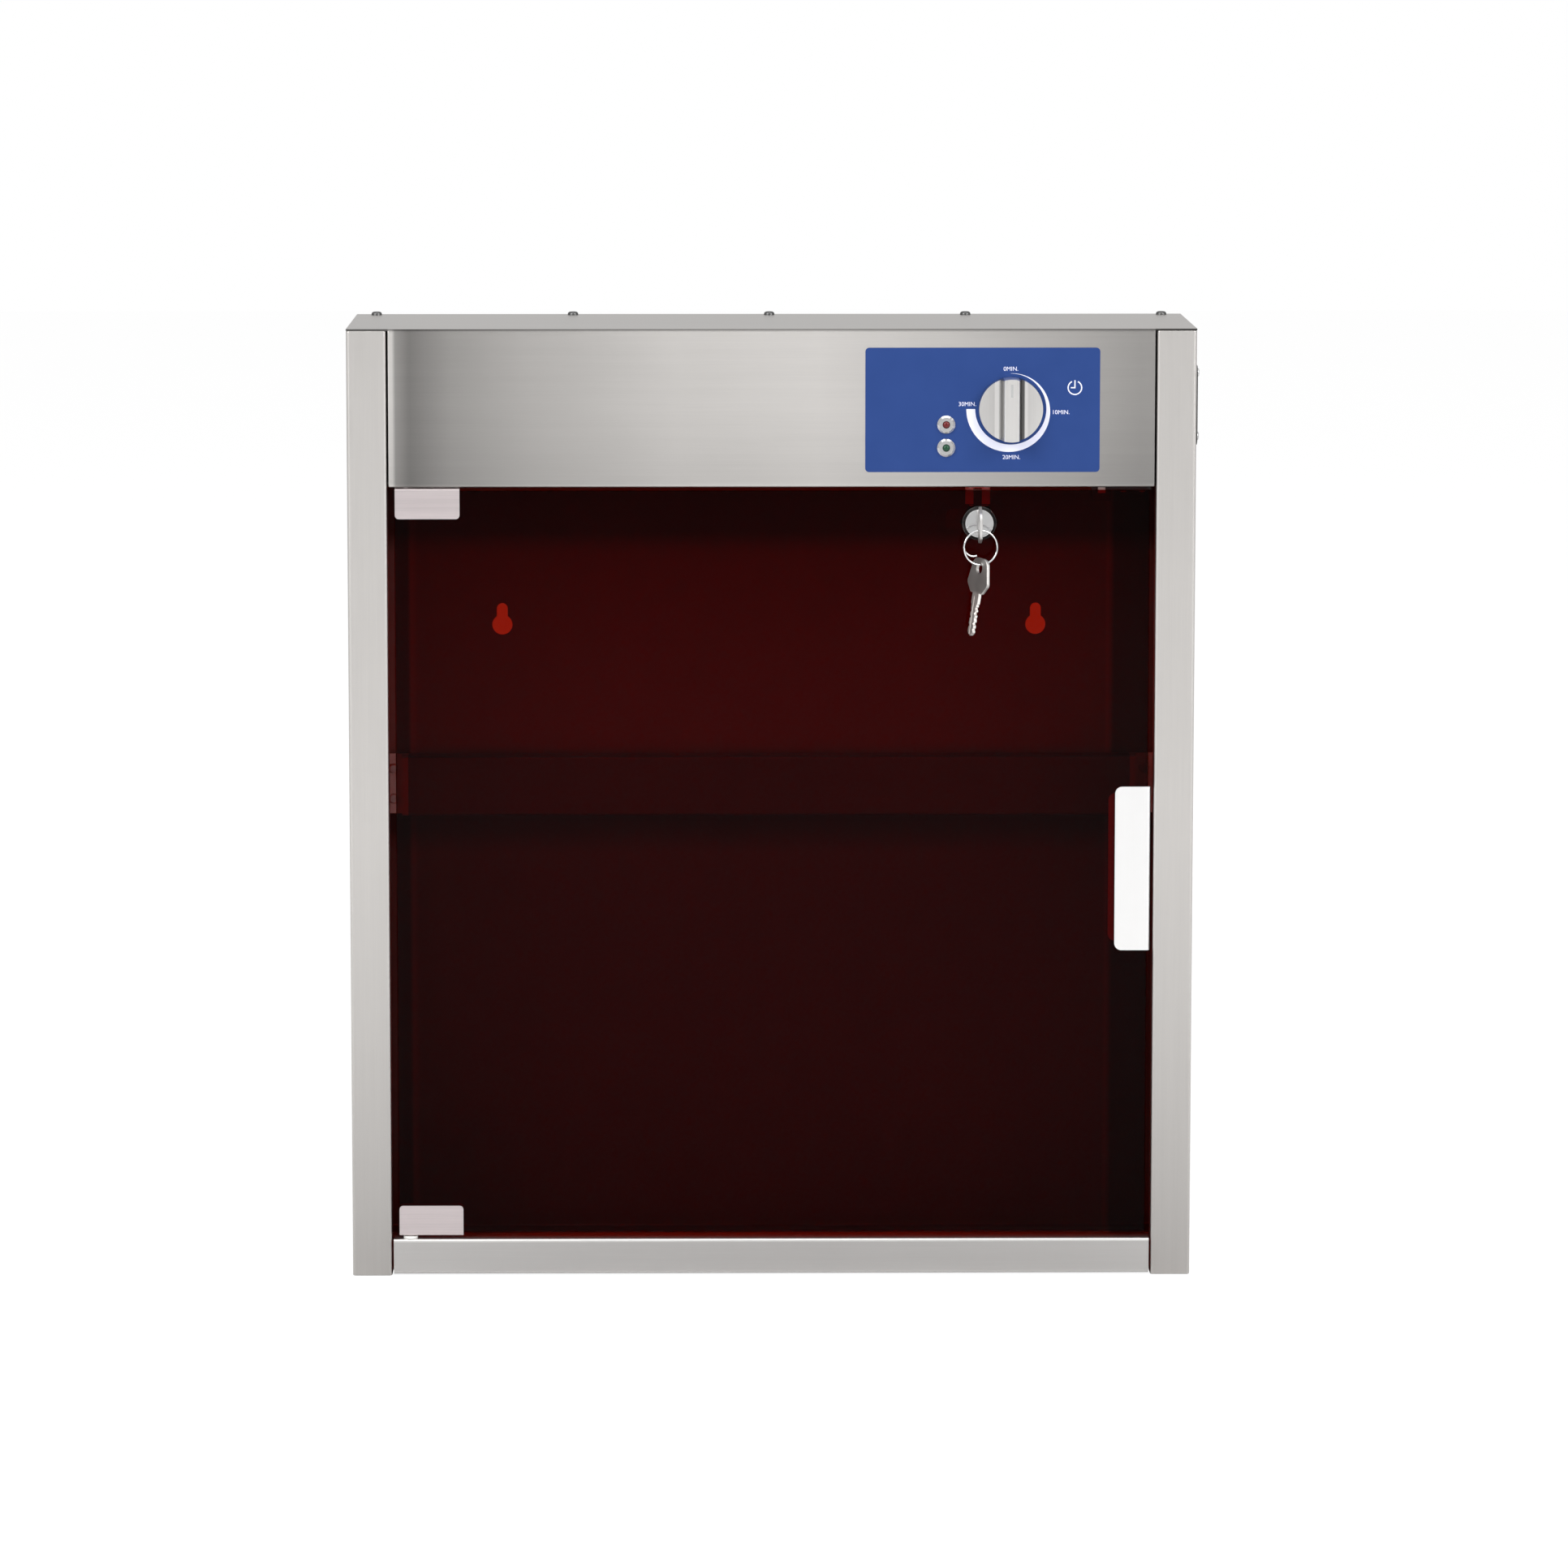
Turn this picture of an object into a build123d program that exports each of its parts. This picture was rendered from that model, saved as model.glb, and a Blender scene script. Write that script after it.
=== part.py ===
from build123d import *
import os

# A wall-hung knife sterilizer cabinet: folded sheet body, see-through hinged door with a cam
# lock, a timer and two indicators on the header, and a lamp behind the header.
# Sizes are in millimetres. X runs right, Y towards the wall and Z up. Everything is drawn with
# the wall at Y = 0 and the base at Z = 0, and is moved as it is written out, so that the middle
# between the two wall keyholes becomes the origin.

# Fits and small clearances
running_fit = 0.08
sliding_fit = 0.15
hole_fit = 0.1
part_gap = 0.3

# Cabinet sheets
cabinet_width = 530.0
cabinet_height = 600.0
cabinet_depth = 140.0
sheet = 1.0
fold_radius = 2.0
stile_width = 25.0
flange = 12.0
top_flange = 20.0
header_height = 99.0
header_flange = 25.0
header_gap = 1.0
header_fold = 10.0
apron_height = 22.6
back_foot = 22.0
flange_gap = 1.5

# Keyholes that hang the cabinet on the wall
keyhole_height = 399.0
keyhole_spacing = 345.0
keyhole_radius = 6.5
keyhole_slot = 7.0
keyhole_rise = 14.0

# Screws of the top cover
cover_screw_side = 13.0
cover_screw_count = 5
cover_screw_radius = 2.0
cover_screw_inset = 8.0
cover_screw_length = 8.0

# Electrics tray
tray_depth = 74.0
tray_side_gap = 1.5

# Door and its hinge clips
door_thickness = 5.0
door_recess = 2.5
door_left_gap = 4.2
door_right_gap = 3.4
clip_gap = 0.3
door_bottom_gap = 3.5
door_arris = 0.5
hinge_inset = 11.6
clip_width = 40.4
clip_height = 19.5
clip_sheet = 1.2
clip_inset = 0.5
clip_corner = 2.5
pad_thickness = 0.5
pivot_radius = 1.95
pivot_length = 5.0
bush_wall = 0.8
washer_radius = 4.6
bush_flange = 3.7
bush_flange_height = 2.0
set_screw_radius = 2.0
set_screw_pitch = 20.0
set_screw_boss = 2.0
set_screw_share = 0.55
set_screw_wall = 1.6
set_screw_socket = (1.15, 1.5)

# Door handle
handle_height = 104.0
handle_width = 22.4
handle_middle = 260.0
handle_corner = 4.5
handle_inner_extra = 3.7
handle_inner_inset = 5.0

# Lock, key, ring and strike
lock_from_side = 135.2
lock_drop = 22.7
lock_flange_radius = 10.65
lock_flange_rim = 0.8
lock_flange_height = 3.0
lock_bead_radius = 8.75
lock_barrel_radius = 8.75
lock_barrel_length = 26.0
plug_radius = 6.0
plug_neck_radius = 5.6
plug_face_radius = 8.0
plug_face_thickness = 1.5
plug_recess = 0.7
nut_radius = 12.0
nut_height = 5.0
cam_thickness = 2.0
cam_width = 13.0
cam_reach = 20.0
cam_square = 7.0
strike_thickness = 1.5
strike_prong = 5.0
strike_slot = 5.4
strike_drop = 13.0
strike_rivet_inset = 8.0
strike_rivet_pitch = 9.0
strike_tab_end = 4.0
rivet_head = (2.55, 1.0)
key_length = 48.6
key_thickness = 2.0
key_edge = 0.3
key_bow_length = 22.0
key_bow_top = 15.0
key_bow_width = 23.5
key_bow_widest = 16.0
key_bow_shoulder = 13.0
key_bow_corners = (5.5, 3.0, 2.0)
key_hole_radius = 3.5
key_hole_inset = 6.5
key_blade_width = 7.0
key_shoulder_length = 6.5
key_cut_width = 5.4
key_cuts_below = ((3.0, 1.0), (6.2, 1.5), (9.4, 0.7), (12.6, 1.3), (16.2, 0.9))
key_cuts_above = ((4.6, 0.8), (8.6, 1.2), (14.0, 0.9))
key_cut_half = 1.3
key_tip_length = 2.2
key_tip_width = 1.6
key_groove = (0.4, 1.3)
key_groove_depth = 0.5
key_neck = 2.0
ring_radius = 10.7
ring_wire = 0.58
ring_opening = 0.5
ring_turn = 12.0
spare_key_turn = 30.0
spare_key_lean = 8.0
spare_key_gap = 0.45
cam_screw_radius = 2.5
cam_screw_head = (4.76, 2.4)
cam_screw_length = 5.0
cam_tip_share = 0.6

# Door switch
switch_from_side = 58.4
switch_size = (12.0, 13.0, 9.5)
switch_wing = (25.0, 2.5)
switch_screw_places = (14.0, 25.8)
switch_screw_radius = 1.5
switch_screw_head = 2.1
plunger_size = (4.6, 3.8)
plunger_travel = 2.0
plunger_guide = 3.0
plunger_drop = 0.6

# Control label, timer and indicators
label_from_side = 60.4
label_width = 146.3
label_from_top = 11.7
label_height = 77.7
label_corner = 2.5
label_thickness = 0.3
timer_from_side = 116.0
timer_from_top = 50.0
timer_plate = 46.0
timer_plate_thickness = 2.0
timer_plate_corner = 4.0
timer_radius = 21.0
timer_round = 2.0
timer_depth = 26.0
timer_bush_radius = 4.75
timer_bush_length = 3.2
timer_nut_radius = 8.0
timer_nut_inset = 0.4
timer_tab = (6.3, 0.8, 8.0)
timer_tab_places = (9.0, 10.0)
shaft_radius = 3.0
shaft_grip = 3.0
shaft_tail = 4.0
knob_radius = 20.0
knob_draft = 0.5
knob_height = 16.0
knob_wing_edge = 4.8
knob_wing_foot = 6.2
knob_bar_width = 9.2
knob_bar_foot = 12.4
knob_cove = 2.4
knob_edge = 0.8
knob_gap = 0.6
knob_hollow = 3.4
pointer_size = (1.4, 0.5, 8.0)
pointer_inset = 3.6
indicator_from_side = 156.2
red_from_top = 59.7
indicator_pitch = 14.5
bezel_radius = 5.65
bezel_height = 2.0
bezel_sleeve = 4.0
bezel_length = 14.0
lens_radius = 2.25
lens_rise = 0.8
lens_collar = (0.9, 1.5)
indicator_nut = (2.4, 3.0)

# Parts on the electrics tray
ballast_size = (150.0, 38.0, 28.0)
ballast_x = -125.0
ballast_round = 6.0
ballast_foot = (11.0, 1.5)
ballast_slot = (9.0, 4.5, 6.0)
starter_radius = 10.75
starter_length = 36.0
starter_x = 10.0
holder_size = (14.0, 26.0, 28.0)
terminal_size = (36.0, 17.0, 9.0)
terminal_x = 72.0
terminal_ways = 3
terminal_end = 2.0
terminal_well = (1.7, 2.0)
tray_line_from_front = 38.0

# Mains inlet
inlet_from_front = 36.0
inlet_from_top = 50.0
inlet_body = (20.0, 27.0, 20.0)
inlet_flange = (24.0, 50.0, 2.5)
inlet_cavity = (16.0, 23.0, 16.0)
inlet_screw_spacing = 40.0
inlet_screw_radius = 1.5
inlet_screw_length = 7.0
inlet_corner = 6.0
inlet_bevel = 4.0
inlet_cavity_bevel = 3.0
inlet_pin = (4.0, 2.0, 3.0)
inlet_pin_places = ((4.5, 0.0), (0.5, 7.0), (0.5, -7.0))

# Lamp
tube_radius = 13.0
tube_length = 438.0
lamp_cap_length = 7.0
tube_from_tray = 27.0
tube_from_top = 55.0
lamp_holder_length = 18.0
lamp_pin_radius = 1.2
lamp_pin_spacing = 12.7
lamp_pin_length = 6.5
lamp_cap_round = 1.5

# Knife bar
bar_side_gap = 2.5
bar_height = 39.0
bar_depth = 14.0
bar_bottom = 276.0
bar_sheet = 1.2
bracket_thickness = 4.0
bracket_foot = 12.0
bracket_foot_thickness = 2.0
bracket_screw_shares = (0.25, 0.75)
magnet_count = 10
magnet_size = (40.0, 8.0, 28.0)
bracket_screw_radius = 1.8

# Internal wiring
wire_radius = 2.2
wire_bend = 15.0
wire_clearance = 1.3

# Places worked out from the sizes above
half_width = cabinet_width / 2
opening = half_width - stile_width
front = -cabinet_depth
lock_x = half_width - lock_from_side
switch_x = half_width - switch_from_side
label_right = half_width - label_from_side
label_top = cabinet_height - label_from_top
timer_x = half_width - timer_from_side
timer_z = cabinet_height - timer_from_top
indicator_x = half_width - indicator_from_side
red_z = cabinet_height - red_from_top
green_z = red_z - indicator_pitch
inlet_y = front + inlet_from_front
inlet_z = cabinet_height - inlet_from_top
tray_line = front + tray_line_from_front
bar_length = 2 * (opening - bar_side_gap)
header_bottom = cabinet_height - header_height
cover_underside = cabinet_height - sheet
floor_bottom = sheet
floor_top = 2 * sheet
apron_top = floor_bottom + apron_height
header_half = opening - header_gap
tray_floor = header_bottom + 2 * sheet
door_front = front + door_recess
door_back = door_front + door_thickness
door_left = -opening + door_left_gap
door_right = opening - door_right_gap
door_top = header_bottom - clip_gap - clip_sheet - pad_thickness
door_bottom = apron_top + door_bottom_gap
pivot_x = -opening + hinge_inset
pivot_y = door_front + door_thickness / 2
clip_top = door_top + pad_thickness + clip_sheet
clip_bottom = door_bottom - pad_thickness - clip_sheet
lock_z = header_bottom - lock_drop
barrel_end = door_front + lock_barrel_length
cam_front = barrel_end + part_gap + 0.3
plug_front = door_front - lock_flange_height + plug_recess
key_bow_end = door_front - lock_flange_height - key_neck - key_bow_length
key_hole_y = key_bow_end + key_hole_inset
ring_top = lock_z - key_hole_radius + ring_wire + part_gap
ring_centre_z = ring_top - ring_radius
ring_bottom = ring_centre_z - ring_radius
spare_hole_z = ring_bottom + ring_wire + spare_key_gap - key_hole_radius
label_front = front - label_thickness
knob_back = label_front - knob_gap
knob_front = knob_back - knob_height
timer_bush_front = label_front - timer_bush_length
shaft_front = knob_front + shaft_grip
shaft_back = front + sheet + timer_depth - shaft_tail
wall_face = -sheet
starter_z = tray_floor + holder_size[2] / 2
tray_front = front + fold_radius + sheet
tray_back = tray_front + tray_depth
tube_y = tray_back + tube_from_tray
tube_z = cabinet_height - tube_from_top
blade_end = key_bow_end + key_length
strike_back = cam_front - part_gap - 0.5
strike_rivet_y = strike_back - strike_rivet_inset
strike_rivet_places = [lock_x - strike_rivet_pitch / 2, lock_x + strike_rivet_pitch / 2]
switch_front = door_back + part_gap + plunger_travel
switch_screw_y = switch_front + switch_size[1] / 2
switch_screw_x = [switch_x + place for place in switch_screw_places]
plunger_z = header_bottom - plunger_size[1] / 2 - plunger_drop
set_screw_z = clip_top - clip_height * set_screw_share

os.makedirs("parts", exist_ok=True)


def block(x, y, z):
    """A rectangular block between three pairs of coordinates."""
    spans = (x, y, z)
    size = [high - low for low, high in spans]
    middle = [(high + low) / 2 for low, high in spans]
    return Pos(*middle) * Box(*size)


def rod_x(x, y, z, radius):
    """A round bar along X between a pair of X values."""
    return Pos((x[0] + x[1]) / 2, y, z) * Rot(0, 90, 0) * Cylinder(radius, x[1] - x[0])


def rod_y(x, y, z, radius):
    """A round bar along Y between a pair of Y values."""
    return Pos(x, (y[0] + y[1]) / 2, z) * Rot(90, 0, 0) * Cylinder(radius, y[1] - y[0])


def rod_z(x, y, z, radius):
    """A round bar along Z between a pair of Z values."""
    return Pos(x, y, (z[0] + z[1]) / 2) * Cylinder(radius, z[1] - z[0])


def turned_y(x, z, profile):
    """A solid turned about a line along Y, from pairs of a Y value and a radius."""
    face = Plane.YZ * make_face(Polyline(*profile, close=True))
    return Pos(x, 0, z) * revolve(face, Axis.Y)


def hexagon_y(x, y, z, radius):
    """A hexagonal bar along Y between a pair of Y values."""
    sketch = Plane((x, y[0], z), x_dir=(1, 0, 0), z_dir=(0, 1, 0)) * RegularPolygon(radius, 6)
    return extrude(sketch, amount=y[1] - y[0])


def fold_face(points, thickness, radius):
    """The section of a folded sheet whose outer face follows the points, turning left."""
    outer = FilletPolyline(*points, radius=radius)
    return make_face(offset(outer, amount=thickness, side=Side.LEFT).edges())


def fold_along_x(points, x, thickness=sheet, radius=fold_radius):
    """A sheet folded along points in Y and Z, between a pair of X values."""
    face = Plane.YZ.offset(x[0]) * fold_face(points, thickness, radius)
    return extrude(face, amount=x[1] - x[0])


def fold_along_z(points, z, thickness=sheet, radius=fold_radius):
    """A sheet folded along points in X and Y, between a pair of Z values."""
    face = Plane.XY.offset(z[0]) * fold_face(points, thickness, radius)
    return extrude(face, amount=z[1] - z[0])


def pan_screw(radius, head_radius, head_height, length):
    """A pan-head screw along Z, its head above Z = 0 and its shank below."""
    head = Cylinder(head_radius, head_height, align=(Align.CENTER, Align.CENTER, Align.MIN))
    head = fillet(head.edges().group_by(Axis.Z)[-1], head_height * 0.6)
    shank = Cylinder(radius, length, align=(Align.CENTER, Align.CENTER, Align.MAX))
    return head + shank


def round_plate(x, y, z, corner):
    """A flat plate between coordinates, its corners rounded in the XZ plane."""
    plate = block(x, y, z)
    return fillet(plate.edges().filter_by(Axis.Y), corner)


def side_panel():
    """The right side: web, stile with its return, and flanges at the back, top and base."""
    web_inner = half_width - sheet
    outline = [
        (opening, front + flange),
        (opening, front),
        (half_width, front),
        (half_width, wall_face),
        (half_width - flange, wall_face),
    ]
    panel = fold_along_z(outline, (0, cover_underside))
    inner_y = (front + fold_radius, wall_face - fold_radius)
    panel += block((half_width - top_flange, web_inner), inner_y, (cover_underside - sheet, cover_underside))
    panel += block((half_width - flange, web_inner), inner_y, (0, sheet))
    corners = panel.edges().filter_by(Axis.Y).group_by(Axis.X)[-1]
    return fillet(corners, sheet * 0.8)


def screw_places():
    """The X values of the screws along the rear of the top cover."""
    reach = half_width - cover_screw_side
    pitch = 2 * reach / (cover_screw_count - 1)
    return [index * pitch - reach for index in range(cover_screw_count)]


def cover_screw_holes():
    """The holes that the cover's screws pass through, as one tool."""
    heights = (cover_underside - 3 * sheet, cabinet_height + sheet)
    radius = cover_screw_radius + hole_fit
    return [rod_z(x, -cover_screw_inset, heights, radius) for x in screw_places()]


def inlet_screw_heights():
    """The heights of the two screws of the mains inlet."""
    return [inlet_z - inlet_screw_spacing / 2, inlet_z + inlet_screw_spacing / 2]


def right_side_panel():
    """The right side panel, with the cut-out and the screw holes for the mains inlet."""
    half_y = inlet_body[0] / 2 + hole_fit
    half_z = inlet_body[1] / 2 + hole_fit
    through = (half_width - 2 * sheet, half_width + sheet)
    cutout = block(through, (inlet_y - half_y, inlet_y + half_y), (inlet_z - half_z, inlet_z + half_z))
    radius = inlet_screw_radius + hole_fit
    holes = [rod_x(through, inlet_y, z, radius) for z in inlet_screw_heights()]
    return side_panel() - cutout - holes - cover_screw_holes()


def left_side_panel():
    """The left side panel, the mirror of the right one without its cut-out."""
    return mirror(side_panel(), Plane.YZ) - cover_screw_holes()


def header_holes():
    """The holes through the header and its return flange, as tools."""
    through = (front - sheet, front + 3 * sheet)
    under = (header_bottom - sheet, tray_floor + sheet)
    tools = [
        rod_y(timer_x, through, timer_z, timer_bush_radius + hole_fit),
        rod_y(indicator_x, through, red_z, bezel_sleeve + hole_fit),
        rod_y(indicator_x, through, green_z, bezel_sleeve + hole_fit),
    ]
    return tools + flange_holes(under)


def flange_holes(heights):
    """The holes for what hangs below the header: pivot bush, strike rivets, switch screws."""
    small = switch_screw_radius + hole_fit
    tools = [rod_z(pivot_x, pivot_y, heights, pivot_radius + running_fit + bush_wall + hole_fit)]
    tools += [rod_z(x, strike_rivet_y, heights, small) for x in strike_rivet_places]
    tools += [rod_z(x, switch_screw_y, heights, small) for x in switch_screw_x]
    return tools


def top_cover():
    """The top plate, the header and its return flange, folded from one sheet."""
    outline = [
        (0, cabinet_height),
        (front, cabinet_height),
        (front, header_bottom),
        (front + header_flange, header_bottom),
    ]
    cover = fold_along_x(outline, (-header_half, header_half))
    for side in (-1, 1):
        edges = sorted((side * header_half, side * (header_half - sheet)))
        wing = sorted((side * header_half, side * half_width))
        fold_z = (header_bottom + sheet, cover_underside)
        cover += block(edges, (front + sheet / 2, front + header_fold), fold_z)
        cover += block(wing, (front, 0), (cover_underside, cabinet_height))
    corners = cover.edges().filter_by(Axis.Z).filter_by_position(Axis.Y, front - sheet, front + sheet / 4)
    tall = corners.filter_by(lambda edge: edge.length > header_height / 2)
    cover = fillet(tall, sheet * 0.45) if tall else cover
    return cover - header_holes() - cover_screw_holes()


def keyhole(x):
    """The tool that cuts one keyhole: a round entry with a narrower slot above it."""
    through = (-2 * sheet, sheet)
    half_slot = keyhole_slot / 2
    rise = keyhole_height + keyhole_rise - half_slot
    slot = block((x - half_slot, x + half_slot), through, (keyhole_height, rise))
    return rod_y(x, through, keyhole_height, keyhole_radius) + slot + rod_y(x, through, rise, half_slot)


def back_panel():
    """The back, with a flange under the top plate, a foot on the floor and two keyholes."""
    foot_half = half_width - flange - flange_gap - sheet
    head_half = half_width - top_flange - flange_gap
    plate_z = (floor_top + fold_radius, cover_underside - fold_radius)
    plate = block((-half_width, half_width), (-sheet, 0), plate_z)
    foot = fold_along_x(
        [(-back_foot, floor_top), (0, floor_top), (0, cabinet_height / 2)], (-foot_half, foot_half)
    )
    head = fold_along_x(
        [(0, cabinet_height / 2), (0, cover_underside), (-back_foot, cover_underside)],
        (-head_half, head_half),
    )
    panel = plate + foot + head
    keyholes = [keyhole(side * keyhole_spacing / 2) for side in (-1, 1)]
    return panel - keyholes - cover_screw_holes() - bracket_screw_holes()


def bottom_panel():
    """The floor and the apron below the door, folded from one sheet."""
    outline = [
        (front + flange, apron_top),
        (front, apron_top),
        (front, floor_bottom),
        (wall_face - part_gap, floor_bottom),
    ]
    panel = fold_along_x(outline, (-header_half, header_half))
    inner = half_width - sheet - part_gap
    floor_y = (front + flange + flange_gap, wall_face - sheet - flange_gap)
    panel += block((-inner, inner), floor_y, (floor_bottom, floor_top))
    heights = (apron_top - 2 * sheet, apron_top + sheet)
    return panel - rod_z(pivot_x, pivot_y, heights, pivot_radius + running_fit + bush_wall + hole_fit)


def electrics_tray():
    """The folded sheet that closes the header's compartment below and behind."""
    top = cover_underside - sheet
    low = tray_floor - sheet
    outline = [(tray_front, low), (tray_back, low), (tray_back, top), (tray_back - flange, top)]
    reach = half_width - sheet - tray_side_gap
    tray = fold_along_x(outline, (-reach, reach))
    stile_y = front + flange + flange_gap
    for side in (-1, 1):
        corner = sorted((side * (header_half - sheet - part_gap), side * half_width))
        tray -= block(corner, (front, stile_y), (header_bottom, tray_floor + sheet))
    return tray - flange_holes((header_bottom, tray_floor + sheet))


def top_cover_screws():
    """The pan-head screws along the rear of the top."""
    screw = pan_screw(cover_screw_radius, cover_screw_radius * 1.7, 2.2, cover_screw_length)
    return [Pos(x, -cover_screw_inset, cabinet_height) * screw for x in screw_places()]


def control_label():
    """The thin plate on the header around the timer and the indicators."""
    label = round_plate(
        (label_right - label_width, label_right),
        (label_front, front),
        (label_top - label_height, label_top),
        label_corner,
    )
    through = (label_front - sheet, front + sheet)
    label -= rod_y(timer_x, through, timer_z, timer_nut_radius + sliding_fit)
    for z in (red_z, green_z):
        label -= rod_y(indicator_x, through, z, bezel_sleeve + hole_fit)
    return label


def timer_body():
    """The clockwork timer behind the header, with its bush and its rear terminals."""
    inner = front + sheet
    half = timer_plate / 2
    plate = round_plate(
        (timer_x - half, timer_x + half),
        (inner, inner + timer_plate_thickness),
        (timer_z - half, timer_z + half),
        timer_plate_corner,
    )
    drum_back = inner + timer_depth
    drum = rod_y(timer_x, (inner + 1, drum_back), timer_z, timer_radius)
    drum = fillet(drum.edges().group_by(Axis.Y)[-1], timer_round)
    bush = rod_y(timer_x, (timer_bush_front, inner + 1), timer_z, timer_bush_radius)
    body = plate + drum + bush
    tab_width, tab_thickness, tab_length = timer_tab
    for x in (-timer_tab_places[0], timer_tab_places[0]):
        for z in (-timer_tab_places[1], timer_tab_places[1]):
            body += block(
                (timer_x + x - tab_width / 2, timer_x + x + tab_width / 2),
                (drum_back - 1, drum_back + tab_length),
                (timer_z + z - tab_thickness / 2, timer_z + z + tab_thickness / 2),
            )
    bore = (timer_bush_front - 1, shaft_back + part_gap)
    return body - rod_y(timer_x, bore, timer_z, shaft_radius + running_fit)


def timer_nut():
    """The nut on the timer's bush, under the knob."""
    nut = hexagon_y(timer_x, (timer_bush_front + timer_nut_inset, front), timer_z, timer_nut_radius)
    return nut - rod_y(timer_x, (timer_bush_front, front + 1), timer_z, timer_bush_radius)


def timer_knob():
    """The knob: a disc with a grip bar across it, coved into two lower wings."""
    half_bar, half_foot, rim = knob_bar_width / 2, knob_bar_foot / 2, knob_radius + 1
    half = [(half_bar, knob_height), (half_foot, knob_wing_foot), (rim, knob_wing_edge), (rim, 0)]
    outline = [(-x, height) for x, height in reversed(half)] + half
    section = make_face(Polyline(*outline, close=True))
    feet = [vertex for vertex in section.vertices() if abs(abs(vertex.X) - half_foot) < 0.01]
    section = fillet(feet, knob_cove)
    tops = section.vertices().group_by(Axis.Y)[-1]
    section = fillet(tops, knob_edge)
    bar = Pos(timer_x, knob_back, timer_z) * Rot(180, 0, 0) * extrude(section, amount=rim, both=True)
    face_radius = knob_radius - knob_draft
    cone = [(knob_back, 0), (knob_back, knob_radius), (knob_front, face_radius), (knob_front, 0)]
    knob = bar & turned_y(timer_x, timer_z, cone)
    knob -= rod_y(timer_x, (knob_back - knob_hollow, knob_back + 1), timer_z, timer_nut_radius + 1.5)
    knob -= rod_y(timer_x, (shaft_front, knob_back), timer_z, shaft_radius)
    return knob - knob_pointer()


def knob_pointer():
    """The inlaid pointer near the top of the knob's grip bar."""
    width, depth, length = pointer_size
    top = timer_z + knob_radius - pointer_inset
    across = (timer_x - width / 2, timer_x + width / 2)
    return block(across, (knob_front, knob_front + depth), (top - length, top))


def timer_shaft():
    """The shaft that carries the knob, with its flat left to the knob's grip."""
    return rod_y(timer_x, (shaft_front, shaft_back), timer_z, shaft_radius)


def indicator_bezel(z):
    """An indicator's metal bezel and its sleeve through the header."""
    rim_front = label_front - bezel_height
    rim = rod_y(indicator_x, (rim_front, label_front), z, bezel_radius)
    rim = chamfer(rim.edges().group_by(Axis.Y)[0], bezel_height * 0.6)
    body = rim + rod_y(indicator_x, (label_front, front + bezel_length), z, bezel_sleeve)
    return body - rod_y(indicator_x, (rim_front - 1, front + bezel_length + 1), z, lens_radius + hole_fit)


def indicator_lens(z):
    """An indicator's domed lens, held inside its bezel by a collar at the back."""
    rim_front = label_front - bezel_height
    end = front + bezel_length
    lens = rod_y(indicator_x, (rim_front - lens_rise, end), z, lens_radius)
    lens = fillet(lens.edges().group_by(Axis.Y)[0], lens_radius * 0.8)
    collar_wall, collar_length = lens_collar
    return lens + rod_y(indicator_x, (end, end + collar_length), z, lens_radius + collar_wall)


def indicator_nuts():
    """The nuts that hold both indicators behind the header."""
    inner = front + sheet
    wall, height = indicator_nut
    nuts = []
    for z in (red_z, green_z):
        nut = hexagon_y(indicator_x, (inner, inner + height), z, bezel_sleeve + wall)
        nuts.append(nut - rod_y(indicator_x, (inner - 1, inner + height + 1), z, bezel_sleeve))
    return nuts


def ballast():
    """The lamp's ballast: a rounded steel case on a foot plate with two slots."""
    length, width, height = ballast_size
    y = (tray_line - width / 2, tray_line + width / 2)
    case = block((ballast_x - length / 2, ballast_x + length / 2), y, (tray_floor, tray_floor + height))
    case = fillet(case.edges().filter_by(Axis.X).group_by(Axis.Z)[-1], ballast_round)
    foot_end, foot_thickness = ballast_foot
    reach = length / 2 + foot_end
    foot = block((ballast_x - reach, ballast_x + reach), y, (tray_floor, tray_floor + foot_thickness))
    slot_length, slot_width, slot_place = ballast_slot
    slot = extrude(SlotOverall(slot_length, slot_width, rotation=90), amount=foot_thickness + 2)
    for side in (-1, 1):
        foot -= Pos(ballast_x + side * (length / 2 + slot_place), tray_line, tray_floor - 1) * slot
    return case + foot


def starter():
    """The starter: a round can lying in its holder."""
    can = rod_x((starter_x - starter_length, starter_x), tray_line, starter_z, starter_radius)
    return fillet(can.edges().group_by(Axis.X)[0], 1.5)


def starter_holder():
    """The socket that the starter plugs into, on the tray's floor."""
    thick, width, height = holder_size
    y = (tray_line - width / 2, tray_line + width / 2)
    body = block((starter_x, starter_x + thick), y, (tray_floor, tray_floor + height))
    return fillet(body.edges().filter_by(Axis.X).group_by(Axis.Z)[-1], 5)


def terminal_block():
    """A terminal block with a hump and two screw wells for each way."""
    length, width, height = terminal_size
    y = (tray_line - width / 2, tray_line + width / 2)
    body = block((terminal_x - length / 2, terminal_x + length / 2), y, (tray_floor, tray_floor + height))
    well_radius, well_depth = terminal_well
    top = tray_floor + height
    pitch = length / terminal_ways
    for way in range(terminal_ways):
        x = terminal_x + (way - (terminal_ways - 1) / 2) * pitch
        body += rod_y(x, (y[0] + terminal_end, y[1] - terminal_end), top, pitch / 3)
        for side in (-1, 1):
            body -= rod_z(x, tray_line + side * width / 5, (top - well_depth, top + pitch / 2), well_radius)
    return body


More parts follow.
